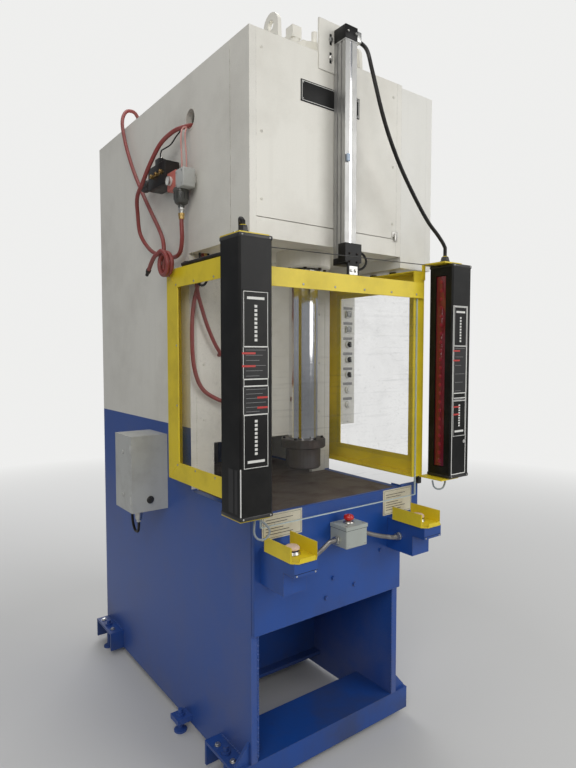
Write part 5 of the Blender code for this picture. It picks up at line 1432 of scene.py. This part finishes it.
@dataclass
class Boxes(Builder):
    """The control cabinet on the right plate and the junction box on the left one."""

    @staticmethod
    def pin(place: Point, radius: float, half: float, chamfer: float, steps: int) -> bmesh.types.BMesh:
        """Turn an upright hinge pin with chamfered ends."""
        inner, end = radius - chamfer, half - 0.002
        profile = [(0.0, -half), (inner, -half), (radius, -end), (radius, end), (inner, half), (0.0, half)]
        return turned_mesh(profile, place, steps=steps)

    def cabinet(self) -> None:
        """Dress the cabinet and add its hinges, its latch's ring and the glands underneath."""
        self.shop.dress(CABINET_PAINT, "control_cabinet", "cabinet_door")
        self.shop.dress(BLACK_PLASTIC, "cabinet_latch")
        low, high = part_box("cabinet_door")
        x = low[0] - 0.0002
        barrels, leaves = [], []
        for z in (low[2] + 0.10, high[2] - 0.10):
            barrels.append(self.pin((low[0], high[1], z), 0.0060, 0.030, 0.0005, 16))
            leaves.append(box_mesh((x - 0.030, high[1] - 0.0002, z - 0.026),
                                   (x - 0.004, high[1] + 0.0022, z + 0.026), 0.0005, 1))
        self.add("cabinet_hinge_barrels", merged(barrels), ZINC, "cabinet_leaf")
        self.add("cabinet_hinge_leaves", merged(leaves), ZINC)
        y, z = low[1] + 0.045, (low[2] + high[2]) / 2
        ring = [(0.0143, 0.0), (0.021, 0.0), (0.021, 0.003), (0.0175, 0.005), (0.0143, 0.005)]
        self.add("cabinet_latch_ring", turned_mesh(ring, (high[0], y, z), Axis.X, 28), ZINC, "cabinet_leaf")
        box_low, box_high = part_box("control_cabinet")
        gland = [(0.0, 0.0), (0.016, 0.0), (0.016, 0.007), (0.0135, 0.009), (0.0135, 0.016),
                 (0.010, 0.023), (0.0, 0.023)]
        places = [(box_high[0] - 0.070, box_low[1] + 0.12 * i, box_low[2]) for i in (1, 2, 3)]
        self.add("cabinet_glands", merged([turned_mesh(gland, place, Axis.DOWN, 6) for place in places]),
                 BLACK_PLASTIC)

    def junction(self) -> None:
        """Dress the junction box and add its lock's ring, hinge, side plugs and gland."""
        self.shop.dress(GREY_PAINT, "junction_box", "junction_box_door")
        self.shop.dress(BLACK_PLASTIC, "junction_box_lock")
        low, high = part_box("junction_box_door")
        lock_low, lock_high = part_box("junction_box_lock")
        lx, lz = (lock_low[0] + lock_high[0]) / 2, (lock_low[2] + lock_high[2]) / 2
        ring = [(0.0113, 0.0), (0.0165, 0.0), (0.0165, 0.0025), (0.0140, 0.0045), (0.0113, 0.0045)]
        shape = turned_mesh(ring, (lx, low[1], lz), Axis.FRONT, 28)
        self.add("junction_lock_ring", shape, BLACK_PLASTIC, "junction_door")
        body_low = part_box("junction_box")[0]
        pins, leaves = [], []
        for z in (low[2] + 0.055, high[2] - 0.055):
            pins.append(self.pin((low[0], high[1], z), 0.0045, 0.020, 0.0003, 14))
            leaves.append(box_mesh((low[0] - 0.0018, high[1] + 0.0055, z - 0.018),
                                   (low[0] + 0.0002, high[1] + 0.024, z + 0.018)))
        self.add("junction_hinge_pins", merged(pins), GREY_PAINT, "junction_door")
        self.add("junction_hinge_leaves", merged(leaves), GREY_PAINT)
        knock = [(low[0] - 0.0006, body_low[1] + 0.085, z) for z in (0.975, 1.165)]
        self.screws("junction_side_plugs", knock, Axis.LEFT, 0.0095, GREY_PAINT, style="button")
        nut = [(0.0, 0.0), (0.021, 0.0), (0.021, 0.008), (0.0185, 0.010), (0.0185, 0.022), (0.0155, 0.032),
               (0.0155, 0.044), (0.0115, 0.052), (0.0, 0.052)]
        place = (LEFT - 0.108, FRONT + 0.750, body_low[2] + 0.060)
        self.add("junction_gland", turned_mesh(nut, place, Axis.DOWN, 12), ZINC)

    def build(self) -> None:
        """Finish both boxes."""
        self.cabinet()
        self.junction()


@dataclass
class PowerUnit(Builder):
    """The tank, pump, motor and valves behind the bed."""

    fins: int = 28
    fin_gap: float = 0.55
    bell_turns: tuple = (0.4, 1.2, 1.97, 2.75, 3.53, 4.32, 5.1, 5.9)

    def build(self) -> None:
        """Dress the power unit and add the motor's fins, fan cowl, screws, sight glass and valve caps."""
        self.shop.dress(BLUE_PAINT, "oil_tank", "pump_motor")
        self.shop.dress(DARK_STEEL, "hydraulic_pump", "pump_coupling")
        self.shop.dress(BLACK_OXIDE, "valve_manifold")
        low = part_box("oil_tank")[0]
        motor_low, motor_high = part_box("pump_motor")
        cx, cy = MIDDLE, motor_low[1] + 0.110
        top = motor_high[2]
        turns = [(i + 0.5) * math.tau / self.fins for i in range(self.fins)]
        kept = [turn for turn in turns if self.fin_gap <= turn <= math.tau - self.fin_gap]
        fins = rib_ring((0.1085, -0.0016, top - 0.315), (0.1180, 0.0016, top - 0.070), kept, 0.0008,
                        Matrix.Translation((cx, cy, 0)))
        self.add("motor_fins", fins, BLUE_PAINT)
        cowl = [(0.096, top - 0.042), (0.112, top - 0.042), (0.112, top - 0.012), (0.104, top + 0.003),
                (0.030, top + 0.004), (0.030, top + 0.0012), (0.096, top + 0.0005)]
        self.add("motor_fan_cowl", turned_mesh(cowl, (cx, cy, 0.0), steps=48), BLUE_PAINT)
        lid = low[2] + 0.500
        plate = [(0.100, lid), (0.128, lid), (0.128, lid + 0.006), (0.104, lid + 0.008), (0.100, lid + 0.008)]
        self.add("bell_flange_ring", turned_mesh(plate, (cx, cy, 0.0), steps=40), BLUE_PAINT)
        places = [(cx + 0.116 * math.cos(a), cy + 0.116 * math.sin(a), lid + 0.006) for a in self.bell_turns]
        self.screws("bell_screws", places, Axis.Z, 0.006, BLACK_OXIDE, style="socket")
        face = [(motor_high[0], cy + dy, motor_low[2] + z) for dy in (-0.040, 0.040) for z in (0.222, 0.300)]
        self.screws("terminal_box_screws", face, Axis.X, 0.004, style="button")
        glass = box_mesh((low[0] + 0.470, low[1] + 0.0002, lid - 0.200),
                         (low[0] + 0.500, low[1] - 0.0098, lid - 0.060),
                         0.002, 2)
        self.add("tank_sight_glass", glass, CURTAIN_WINDOW)
        manifold_low, manifold_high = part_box("valve_manifold")
        cap = [(0.0, -0.012), (0.0262, -0.012), (0.0262, -0.002), (0.022, 0.0012), (0.008, 0.0012),
               (0.008, 0.007), (0.0, 0.007)]
        y, z = manifold_low[1] + 0.055, manifold_low[2] + 0.1647
        caps = [turned_mesh(cap, (x, y, z), axis, 28)
                for x, axis in ((manifold_low[0], Axis.LEFT), (manifold_high[0], Axis.X))]
        self.add("valve_coil_caps", merged(caps), ZINC)


# Hoses and cables

def smooth_path(points: Sequence[Point], spacing: float) -> list[Vector]:
    """Run a smooth curve through a route, with straight ends.

    Args:
        points: The route's points.
        spacing: The distance between the curve's points.

    Returns:
        The points along the curve.
    """
    knots = [Vector(p) for p in points]
    kept = [knots[0], knots[1]]
    for a, b, c, d in zip(knots, knots[1:], knots[2:], knots[3:]):
        for i in range(24):
            t = i / 24
            p = 0.5 * (2 * b + (c - a) * t + (2 * a - 5 * b + 4 * c - d) * t ** 2
                       + (3 * b - a - 3 * c + d) * t ** 3)
            if min((p - kept[-1]).length, (p - knots[-2]).length) >= spacing:
                kept.append(p)
    return kept + [knots[-2], knots[-1]]


def path_length(path: Sequence[Vector]) -> float:
    """Return the length along a path."""
    return sum((b - a).length for a, b in zip(path, path[1:]))


def from_corner(points: Sequence[Point]) -> list[Point]:
    """Return places measured from the left plate's outer face and the frame's front."""
    return [(LEFT + x, FRONT + y, z) for x, y, z in points]


@dataclass
class Hoses(Builder):
    """The air hoses, the conduits and the thin leads."""

    red_radius: float = 0.0085
    black_radius: float = 0.0075
    conduit_radius: float = 0.009
    coil_centre: Point = (-0.4668, -0.148, 1.957)
    coil_radius: float = 0.047
    coil_turns: float = 1.9
    coil_pitch: float = 0.0176

    def hose(self, name: str, route: Sequence[Point], radius: float, finish: Finish, far_end: str = "object",
             nodes: Sequence[str] = (), pieces: Sequence[bpy.types.Object] = (), lay: str = "hanging",
             stiffness: str = "medium", body: str = "frame") -> bpy.types.Object:
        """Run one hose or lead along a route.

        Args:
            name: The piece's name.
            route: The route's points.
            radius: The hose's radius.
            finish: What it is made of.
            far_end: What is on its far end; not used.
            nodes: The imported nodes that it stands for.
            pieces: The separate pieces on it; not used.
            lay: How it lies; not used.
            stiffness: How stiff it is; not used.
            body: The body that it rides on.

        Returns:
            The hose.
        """
        path = smooth_path(route, max(0.004, radius * 1.5))
        curve = bpy.data.curves.new(name, "CURVE")
        curve.dimensions = "3D"
        curve.bevel_depth = radius
        curve.bevel_resolution = 6 if radius > 0.004 else 3
        curve.use_fill_caps = True
        spline = curve.splines.new("POLY")
        spline.points.add(len(path) - 1)
        for point, place in zip(spline.points, path):
            point.co = (*place, 1.0)
        spline.use_smooth = True
        curve.materials.append(self.shop.material(finish))
        piece = bpy.data.objects.new(name, curve)
        bpy.context.scene.collection.objects.link(piece)
        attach(piece, body)
        if nodes:
            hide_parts(*nodes)
        LOG.info("%s is %.2f m long", name, path_length(path))
        return piece

    def conduit(self, side: str, route: Sequence[Point]) -> None:
        """Make one ribbed metal conduit.

        Args:
            side: "left" or "right".
            route: Its route, from the stop box to the palm box.
        """
        path = smooth_path(route, 0.0024)
        even = [path[0]]
        for place in path[1:]:
            step = place - even[-1]
            count = max(1, round(step.length / 0.0024))
            even += [even[-1] + step * (i + 1) / count for i in range(count)]
        tube = bar_mesh(even, self.conduit_radius, 16, 0.14)
        piece = self.add(f"ribbed_conduit_{side}", tube, METAL_CONDUIT)
        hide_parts(f"conduit_{side}")

    def coil(self) -> list[Point]:
        """Return the route of the coiled hose over the guard's corner, with its loose end."""
        cx, cy, cz = self.coil_centre
        steps = int(self.coil_turns * 16)
        first = math.radians(20.0)
        turn = []
        for i in range(steps + 1):
            a = first - self.coil_turns * math.tau * i / steps
            sway = 0.003 * math.sin(i * 0.9)
            r = self.coil_radius + sway
            turn.append((cx - self.coil_pitch * self.coil_turns * i / steps, cy + r * math.cos(a),
                         cz + r * math.sin(a)))
        last = turn[-1]
        return turn + [(last[0] - 0.001, last[1] + 0.032, last[2] - 0.008),
                       (last[0] + 0.002, last[1] + 0.068, last[2] - 0.026),
                       (last[0] + 0.005, last[1] + 0.094, last[2] - 0.042),
                       (last[0] + 0.007, last[1] + 0.112, last[2] - 0.054)]

    def red_hoses(self) -> None:
        """Run the three red air hoses."""
        loop = from_corner([(0.060, 0.430, 2.505), (0.010, 0.430, 2.502), (-0.030, 0.440, 2.488),
                            (-0.052, 0.485, 2.478), (-0.080, 0.540, 2.440), (-0.100, 0.600, 2.370),
                            (-0.105, 0.665, 2.310), (-0.100, 0.735, 2.268), (-0.072, 0.800, 2.210),
                            (-0.052, 0.822, 2.130), (-0.034, 0.760, 2.056), (-0.030, 0.660, 2.018),
                            (-0.030, 0.560, 1.994), (-0.034, 0.470, 1.998), (-0.040, 0.432, 2.045)])
        end = (-0.4383, -0.208, 2.1497)
        self.hose("air_hose_loop", loop + [(end[0], end[1], end[2] - 0.040), end], self.red_radius, RED_HOSE,
                  nodes=("red_hose_loop",))
        supply = from_corner([(0.090, 1.160, 2.7303), (0.090, 1.160, 2.765), (0.060, 1.150, 2.800),
                              (0.010, 1.130, 2.785), (-0.020, 1.105, 2.720), (-0.024, 1.060, 2.610),
                              (-0.026, 0.985, 2.490), (-0.028, 0.890, 2.370), (-0.034, 0.760, 2.235),
                              (-0.050, 0.625, 2.120), (-0.068, 0.545, 2.050)])
        tail = self.coil()
        tip, before = Vector(tail[-1]), Vector(tail[-2])
        way = (tip - before).normalized()
        profile = [(0.0, -0.004), (0.0102, -0.004), (0.0106, 0.004), (0.0098, 0.012), (0.0072, 0.014),
                   (0.0072, 0.030), (0.0060, 0.032), (0.0, 0.032)]
        barb = turned_mesh(profile, (0, 0, 0), steps=24)
        turn = Vector((0, 0, 1)).rotation_difference(way).to_matrix().to_4x4()
        bmesh.ops.transform(barb, matrix=Matrix.Translation(tip) @ turn, verts=barb.verts)
        plug = self.add("loose_hose_end", barb, BLACK_OXIDE)
        self.hose("air_hose_supply", supply + tail, self.red_radius, RED_HOSE, "fitting",
                  ("red_hose_supply", "red_hose_coil"), [plug], "coiled")
        throat = from_corner([(0.055, 0.415, 1.9997), (0.055, 0.415, 1.955), (0.030, 0.424, 1.890),
                              (0.006, 0.430, 1.780), (0.000, 0.431, 1.660), (0.008, 0.430, 1.540),
                              (0.040, 0.427, 1.455), (0.100, 0.420, 1.410), (0.150, 0.410, 1.393),
                              (0.205, 0.412, 1.390), (0.205, 0.4497, 1.390)])
        self.hose("air_hose_throat", throat, self.red_radius, RED_HOSE, nodes=("red_hose_throat",))
        ferrule = [(0.0088, 0.0), (0.0135, 0.0), (0.0135, 0.008), (0.0118, 0.010), (0.0118, 0.022),
                   (0.0088, 0.024)]
        nuts = [turned_mesh(ferrule, (LEFT + 0.055, FRONT + 0.415, 1.9997), Axis.DOWN, 8),
                turned_mesh(ferrule, (LEFT + 0.205, FRONT + 0.4497, 1.390), Axis.FRONT, 8),
                turned_mesh(ferrule, (end[0], end[1], end[2]), Axis.DOWN, 8),
                turned_mesh(ferrule, (LEFT + 0.090, FRONT + 1.160, 2.7303), Axis.Z, 8)]
        self.add("hose_ferrules", merged(nuts), BRASS)

    def leads(self) -> None:
        """Run the black hose of the guard's cylinder and the thin leads."""
        bend = from_corner([(0.4573, -0.03565, 2.770), (0.4813, -0.03565, 2.770), (0.4913, -0.060, 2.735),
                            (0.480, -0.100, 2.640), (0.520, -0.122, 2.470), (0.590, -0.125, 2.340),
                            (0.680, -0.125, 2.225), (0.770, -0.125, 2.130), (0.835, -0.130, 2.075),
                            (0.865, -0.140, 2.030), (0.865, -0.140, 1.9956)])
        self.hose("guard_cylinder_hose", bend, self.black_radius, BLACK_HOSE, nodes=("black_hose",))
        for i, x in enumerate((-0.4480, -0.4350)):
            y = -0.208 + 0.008 * i
            tube = [(LEFT + 0.040, y, 2.492), (LEFT - 0.006, y, 2.492),
                    (x + 0.016, -0.213 - 0.004 * i, 2.478), (x + 0.004, -0.222 - 0.010 * i, 2.440),
                    (x, -0.234 - 0.014 * i, 2.370), (x, -0.236 - 0.014 * i, 2.335),
                    (x, -0.236 - 0.014 * i, 2.3125)]
            self.hose(f"pilot_tube_{i + 1}", tube, 0.003, PINK_TUBE)
        wire = [(LEFT + 0.040, -0.196, 2.510), (LEFT - 0.008, -0.190, 2.500),
                (LEFT - 0.034, -0.165, 2.470), (LEFT - 0.046, -0.130, 2.440),
                (LEFT - 0.050, -0.080, 2.436), (LEFT - 0.046, -0.040, 2.440), (-0.4383, -0.017, 2.428),
                (-0.4383, -0.017, 2.4103)]
        self.hose("valve_lead", wire, 0.0028, BLACK_HOSE)
        self.small_leads()

    def small_leads(self) -> None:
        """Run the thin cables of the curtains, the guard's cylinder, the throat and the junction box."""
        link = [(-0.4415, -0.778, 1.938), (-0.409, -0.778, 1.9385), (-0.155, -0.778, 1.942),
                (0.200, -0.778, 1.947), (0.405, -0.778, 1.951), (0.4415, -0.778, 1.952)]
        self.hose("curtain_link_cable", link, 0.0016, BLACK_PLASTIC, lay="taut")
        curl = [(0.0380, -0.674, 1.949), (0.052, -0.673, 1.957), (0.078, -0.670, 1.986),
                (0.112, -0.668, 1.980), (0.128, -0.667, 1.955), (0.112, -0.665, 1.930),
                (0.078, -0.664, 1.920), (0.054, -0.664, 1.932), (0.0380, -0.664, 1.938)]
        self.hose("cylinder_foot_hose", curl, 0.0045, BLACK_HOSE)
        tie = [(-0.511, -0.778, 1.9935), (-0.511, -0.778, 2.006), (-0.505, -0.755, 2.018),
               (-0.478, -0.712, 2.010), (-0.452, -0.668, 1.968), (-0.4455, -0.620, 1.9462),
               (-0.4460, -0.500, 1.9455), (-0.4450, -0.340, 1.9465), (-0.4440, -0.245, 1.9455),
               (-0.4300, -0.200, 1.952), (-0.4100, -0.180, 1.962), (-0.3965, -0.178, 1.964)]
        self.hose("guard_top_cable", tie, 0.0080, BLACK_HOSE, lay="loose")
        drop = [(-0.352, -0.223, 1.9997), (-0.352, -0.223, 1.975), (-0.378, -0.220, 1.900),
                (-0.376, -0.218, 1.850), (-0.360, -0.217, 1.793), (-0.331, -0.214, 1.713),
                (-0.296, -0.213, 1.640), (-0.270, -0.212, 1.600), (-0.262, -0.205, 1.590),
                (-0.262, -0.1883, 1.590)]
        self.hose("throat_hose_second", drop, 0.0078, RED_HOSE)
        bow = [(-0.372, -0.232, 1.9997), (-0.372, -0.234, 1.970), (-0.392, -0.238, 1.900),
               (-0.372, -0.240, 1.870), (-0.348, -0.238, 1.881), (-0.334, -0.236, 1.930),
               (-0.334, -0.234, 1.975), (-0.334, -0.234, 1.9997)]
        self.hose("throat_bow_hose", bow, 0.0048, BLACK_HOSE)
        left_foot = [(-0.470, -0.790, 1.0815), (-0.466, -0.794, 1.066), (-0.444, -0.798, 1.048),
                     (-0.426, -0.798, 1.021), (-0.440, -0.798, 1.000), (-0.468, -0.798, 1.001),
                     (-0.486, -0.798, 1.024), (-0.482, -0.794, 1.060), (-0.480, -0.790, 1.0815)]
        self.hose("curtain_left_foot_lead", left_foot, 0.0036, LEAD_GREY)
        right_foot = [(0.470, -0.790, 1.0815), (0.474, -0.792, 1.062), (0.456, -0.795, 1.038),
                      (0.424, -0.795, 1.036), (0.398, -0.793, 1.052), (0.394, -0.790, 1.0755)]
        self.hose("curtain_right_foot_lead", right_foot, 0.0036, LEAD_GREY)
        below = [(-0.504, 0.112, 0.8550), (-0.504, 0.112, 0.828), (-0.502, 0.128, 0.800),
                 (-0.498, 0.172, 0.795), (-0.494, 0.208, 0.826), (-0.494, 0.214, 0.872),
                 (-0.494, 0.214, 0.9078)]
        self.hose("junction_lead", below, 0.0060, BLACK_HOSE)

    def build(self) -> None:
        """Run every hose, conduit and lead."""
        self.red_hoses()
        self.leads()
        left = [(0.3357, -0.062, 0.890), (0.3137, -0.062, 0.890), (0.262, -0.074, 0.872),
                (0.200, -0.084, 0.854), (0.1613, -0.085, 0.850), (0.1433, -0.085, 0.850)]
        right = [(0.4763, -0.062, 0.890), (0.4983, -0.062, 0.890), (0.550, -0.072, 0.872),
                 (0.610, -0.083, 0.856), (0.6357, -0.085, 0.850), (0.6517, -0.085, 0.850)]
        self.conduit("left", from_corner(left))
        self.conduit("right", from_corner(right))


@dataclass
class AirSet(Builder):
    """The air preparation set: the regulator, the separator, the valve and its coil."""

    height: float = 2.330
    start: float = -0.291
    guard_ribs: int = 12
    knob_ridges: int = 18

    def build(self) -> None:
        """Replace the plain block with the separate units of the set."""
        back = LEFT - 0.0003
        x0, x1 = back - 0.072, back - 0.012
        cx = (x0 + x1) / 2
        z = self.height
        y1, y2, y3 = self.start + 0.083, self.start + 0.161, self.start + 0.329
        low = z - 0.090
        head = box_mesh((x0 + 0.004, self.start + 0.014, low), (x1 - 0.002, y1 - 0.0005, low + 0.072), 0.005,
                        3)
        self.add("air_filter_head", head, GREY_PAINT)
        regulator = box_mesh((x0 + 0.006, y1, low + 0.004), (x1 - 0.004, y2 - 0.0005, low + 0.078), 0.004, 3)
        self.add("air_regulator", regulator, REGULATOR_RED)
        valve = box_mesh((x0 - 0.003, y2, z - 0.048), (x1 + 0.003, y3, z + 0.045), 0.0035, 2)
        body = self.add("air_valve", valve, BLACK_OXIDE)
        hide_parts("air_valve_block")
        bars = [box_mesh((x1 - 0.002, y2, z - 0.020), (back, y3 - 0.020, z + 0.020), 0.0015, 1),
                box_mesh((x1 - 0.006, self.start + 0.034, low + 0.022), (back, y2 + 0.004, low + 0.052),
                         0.0015, 1)]
        self.add("air_set_rail", merged(bars), ZINC)
        bowl = [(0.0, low + 0.006), (0.0300, low + 0.006), (0.0310, low + 0.001), (0.0310, low - 0.008),
                (0.0285, low - 0.010), (0.0285, low - 0.040), (0.0255, low - 0.051), (0.0180, low - 0.057),
                (0.0125, low - 0.059), (0.0125, low - 0.070), (0.0, low - 0.070)]
        self.add("air_filter_bowl", turned_mesh(bowl, (cx, y1, 0.0), steps=40), BOWL_GREY)
        turns = [i * math.tau / self.guard_ribs for i in range(self.guard_ribs)]
        guard = rib_ring((0.0275, -0.0016, low - 0.038), (0.0300, 0.0016, low - 0.012), turns, 0.0006,
                         Matrix.Translation((cx, y1, 0)))
        self.add("air_filter_guard", guard, BLACK_PLASTIC)
        fitting = [(0.0, low - 0.068), (0.0130, low - 0.068), (0.0130, low - 0.078), (0.0100, low - 0.080),
                   (0.0100, low - 0.0897), (0.0, low - 0.0897)]
        self.add("bowl_fitting", turned_mesh(fitting, (cx, y1, 0.0), steps=8), ZINC)
        coil = box_mesh((cx - 0.016, y3 - 0.075, z + 0.0452), (cx + 0.016, y3 - 0.035, z + 0.080), 0.003, 3)
        self.add("valve_coil", coil, BLACK_PLASTIC)
        self.screws("valve_coil_nut", [(cx, y3 - 0.069, z + 0.0802)], Axis.Z, 0.005)
        gauge = [(0.0, 0.0), (0.0165, 0.0), (0.0175, 0.002), (0.0175, 0.012), (0.0160, 0.0145),
                 (0.0150, 0.0145), (0.0146, 0.0128), (0.0, 0.0128)]
        dial = (x0 + 0.006, (y1 + y2) / 2 + 0.004, low + 0.040)
        self.add("pressure_gauge", turned_mesh(gauge, dial, Axis.LEFT, 32), LABEL_WHITE)
        bezel = [(0.0148, 0.010), (0.0180, 0.010), (0.0180, 0.0150), (0.0160, 0.0162), (0.0148, 0.0150)]
        self.add("gauge_bezel", turned_mesh(bezel, dial, Axis.LEFT, 32), ZINC)
        stub = [(0.0, -0.001), (0.0155, -0.001), (0.0155, 0.012), (0.0105, 0.014), (0.0100, 0.026),
                (0.0140, 0.028), (0.0140, 0.040), (0.0100, 0.042), (0.0100, 0.0500), (0.0, 0.0500)]
        self.add("valve_outlet", turned_mesh(stub, (cx, y3, z), Axis.Y, 8), BRASS)
        ports = [(x0 - 0.0028, y, z + 0.002) for y in (y2 + 0.030, y2 + 0.075, y2 + 0.120)]
        self.screws("valve_ports", ports, Axis.LEFT, 0.009, BRASS, style="socket")
        ends = [(x0 + 0.004, self.start + dy, low + dz) for dz in (0.012, 0.060) for dy in (0.025, 0.071)]
        self.screws("filter_head_screws", ends, Axis.LEFT, 0.0035, style="button")
        self.shop.dress(BLACK_PLASTIC, "regulator_knob")
        knob_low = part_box("regulator_knob")[0]
        turns = [i * math.tau / self.knob_ridges for i in range(self.knob_ridges)]
        ridges = rib_ring((0.0212, -0.0013, 0.010), (0.0230, 0.0013, 0.060), turns, 0.0006,
                          Matrix.Translation((cx, knob_low[1], z)) @ Axis.Y.turn())
        self.add("regulator_knob_ridges", ridges, BLACK_PLASTIC, "regulator")


ASSEMBLIES = (CFrame, Head, MainCylinder, PowerUnit, GuardDoor, SideGuards, LightCurtains, Stations,
              ButtonStrip, Boxes,
              AirSet, Hoses)


# The room

@dataclass
class Studio:
    """The camera at the photograph's place, the floor and the lamps."""

    camera_place: Point = (-1.471, -2.301, 1.600)
    heading: float = 36.67
    tilt_down: float = 3.14
    focal_px: float = 571.86
    long_side_px: float = 768.0
    sensor: float = 36.0
    backdrop: Colour = (0.86, 0.86, 0.85)

    def camera(self) -> None:
        """Set the camera where the photograph was taken from."""
        data = bpy.data.cameras.new("photo_camera")
        data.sensor_width = self.sensor
        data.lens = self.focal_px * self.sensor / self.long_side_px
        data.clip_end = 100.0
        camera = bpy.data.objects.new("photo_camera", data)
        camera.location = self.camera_place
        camera.rotation_euler = (math.radians(90.0 - self.tilt_down), 0.0, -math.radians(self.heading))
        bpy.context.scene.collection.objects.link(camera)
        bpy.context.scene.camera = camera

    def floor(self) -> None:
        """Lay the pale floor, which fades to the backdrop far off."""
        bm = bmesh.new()
        bmesh.ops.create_grid(bm, x_segments=1, y_segments=1, size=30.0)
        mesh = bpy.data.meshes.new("studio_floor")
        bm.to_mesh(mesh)
        bm.free()
        floor = bpy.data.objects.new("studio_floor", mesh)
        bpy.context.scene.collection.objects.link(floor)
        material = bpy.data.materials.new("studio_floor")
        material.use_nodes = True
        shader = material.node_tree.nodes["Principled BSDF"]
        shader.inputs["Base Color"].default_value = (0.62, 0.62, 0.61, 1.0)
        shader.inputs["Roughness"].default_value = 0.7
        graph = Graph(material.node_tree)
        away = graph.node("VectorMath", operation="LENGTH")
        graph.link(graph.place(), away.inputs[0])
        path = graph.node("LightPath")
        far = graph.math("MULTIPLY", graph.ramp(away.outputs["Value"], 1.6, 6.5),
                         path.outputs["Is Camera Ray"])
        haze = graph.node("Emission")
        haze.inputs["Color"].default_value = (*self.backdrop, 1.0)
        graph.choose(far, shader, haze, material.node_tree.nodes["Material Output"].inputs["Surface"])
        mesh.materials.append(material)

    def world(self) -> None:
        """Light the room evenly, with a pale backdrop for the camera and for rays through clear sheets."""
        world = bpy.data.worlds.new("studio")
        world.use_nodes = True
        bpy.context.scene.world = world
        graph = Graph(world.node_tree)
        light = world.node_tree.nodes["Background"]
        light.inputs["Color"].default_value = (0.92, 0.95, 1.0, 1.0)
        light.inputs["Strength"].default_value = 0.27
        seen = graph.node("Background")
        seen.inputs["Color"].default_value = (*self.backdrop, 1.0)
        seen.inputs["Strength"].default_value = 1.0
        path = graph.node("LightPath")
        either = graph.math("MAXIMUM", path.outputs["Is Camera Ray"], path.outputs["Is Transmission Ray"])
        graph.choose(either, light, seen, world.node_tree.nodes["World Output"].inputs[0])

    def lamp(self, name: str, place: Point, target: Point, width: float, power: float,
             colour: Colour) -> None:
        """Hang one soft lamp.

        Args:
            name: The lamp's name.
            place: Where it hangs.
            target: What it points at.
            width: The side of its square, in metres.
            power: Its power, in watts.
            colour: Its colour.
        """
        data = bpy.data.lights.new(name, "AREA")
        data.size = width
        data.energy = power
        data.color = colour
        lamp = bpy.data.objects.new(name, data)
        lamp.location = place
        lamp.rotation_mode = "QUATERNION"
        lamp.rotation_quaternion = (Vector(target) - Vector(place)).to_track_quat("-Z", "Y")
        bpy.context.scene.collection.objects.link(lamp)

    def set_up(self) -> None:
        """Make the camera, the floor, the backdrop and the lamps."""
        self.camera()
        self.floor()
        self.world()
        middle = (0.0, -0.1, 1.3)
        self.lamp("key_lamp", (-3.6, -4.2, 4.4), middle, 3.0, 118.0, (1.0, 0.97, 0.93))
        self.lamp("front_lamp", (2.4, -4.4, 3.0), middle, 3.0, 92.0, (1.0, 0.99, 0.97))
        self.lamp("top_lamp", (0.0, 0.4, 5.4), middle, 3.5, 80.0, (1.0, 0.98, 0.95))
        self.lamp("back_lamp", (1.5, 4.5, 3.4), middle, 3.0, 80.0, (0.98, 0.98, 1.0))


def main() -> None:
    """Build every sub-assembly in order."""
    logging.basicConfig(level=logging.INFO, format="%(name)s: %(message)s")
    scene = bpy.context.scene
    scene.view_settings.view_transform = "Standard"
    Studio().set_up()
    shop = PaintShop(GroupShelf())
    for assembly in ASSEMBLIES:
        assembly(shop).build()


if __name__ == "__main__":
    main()
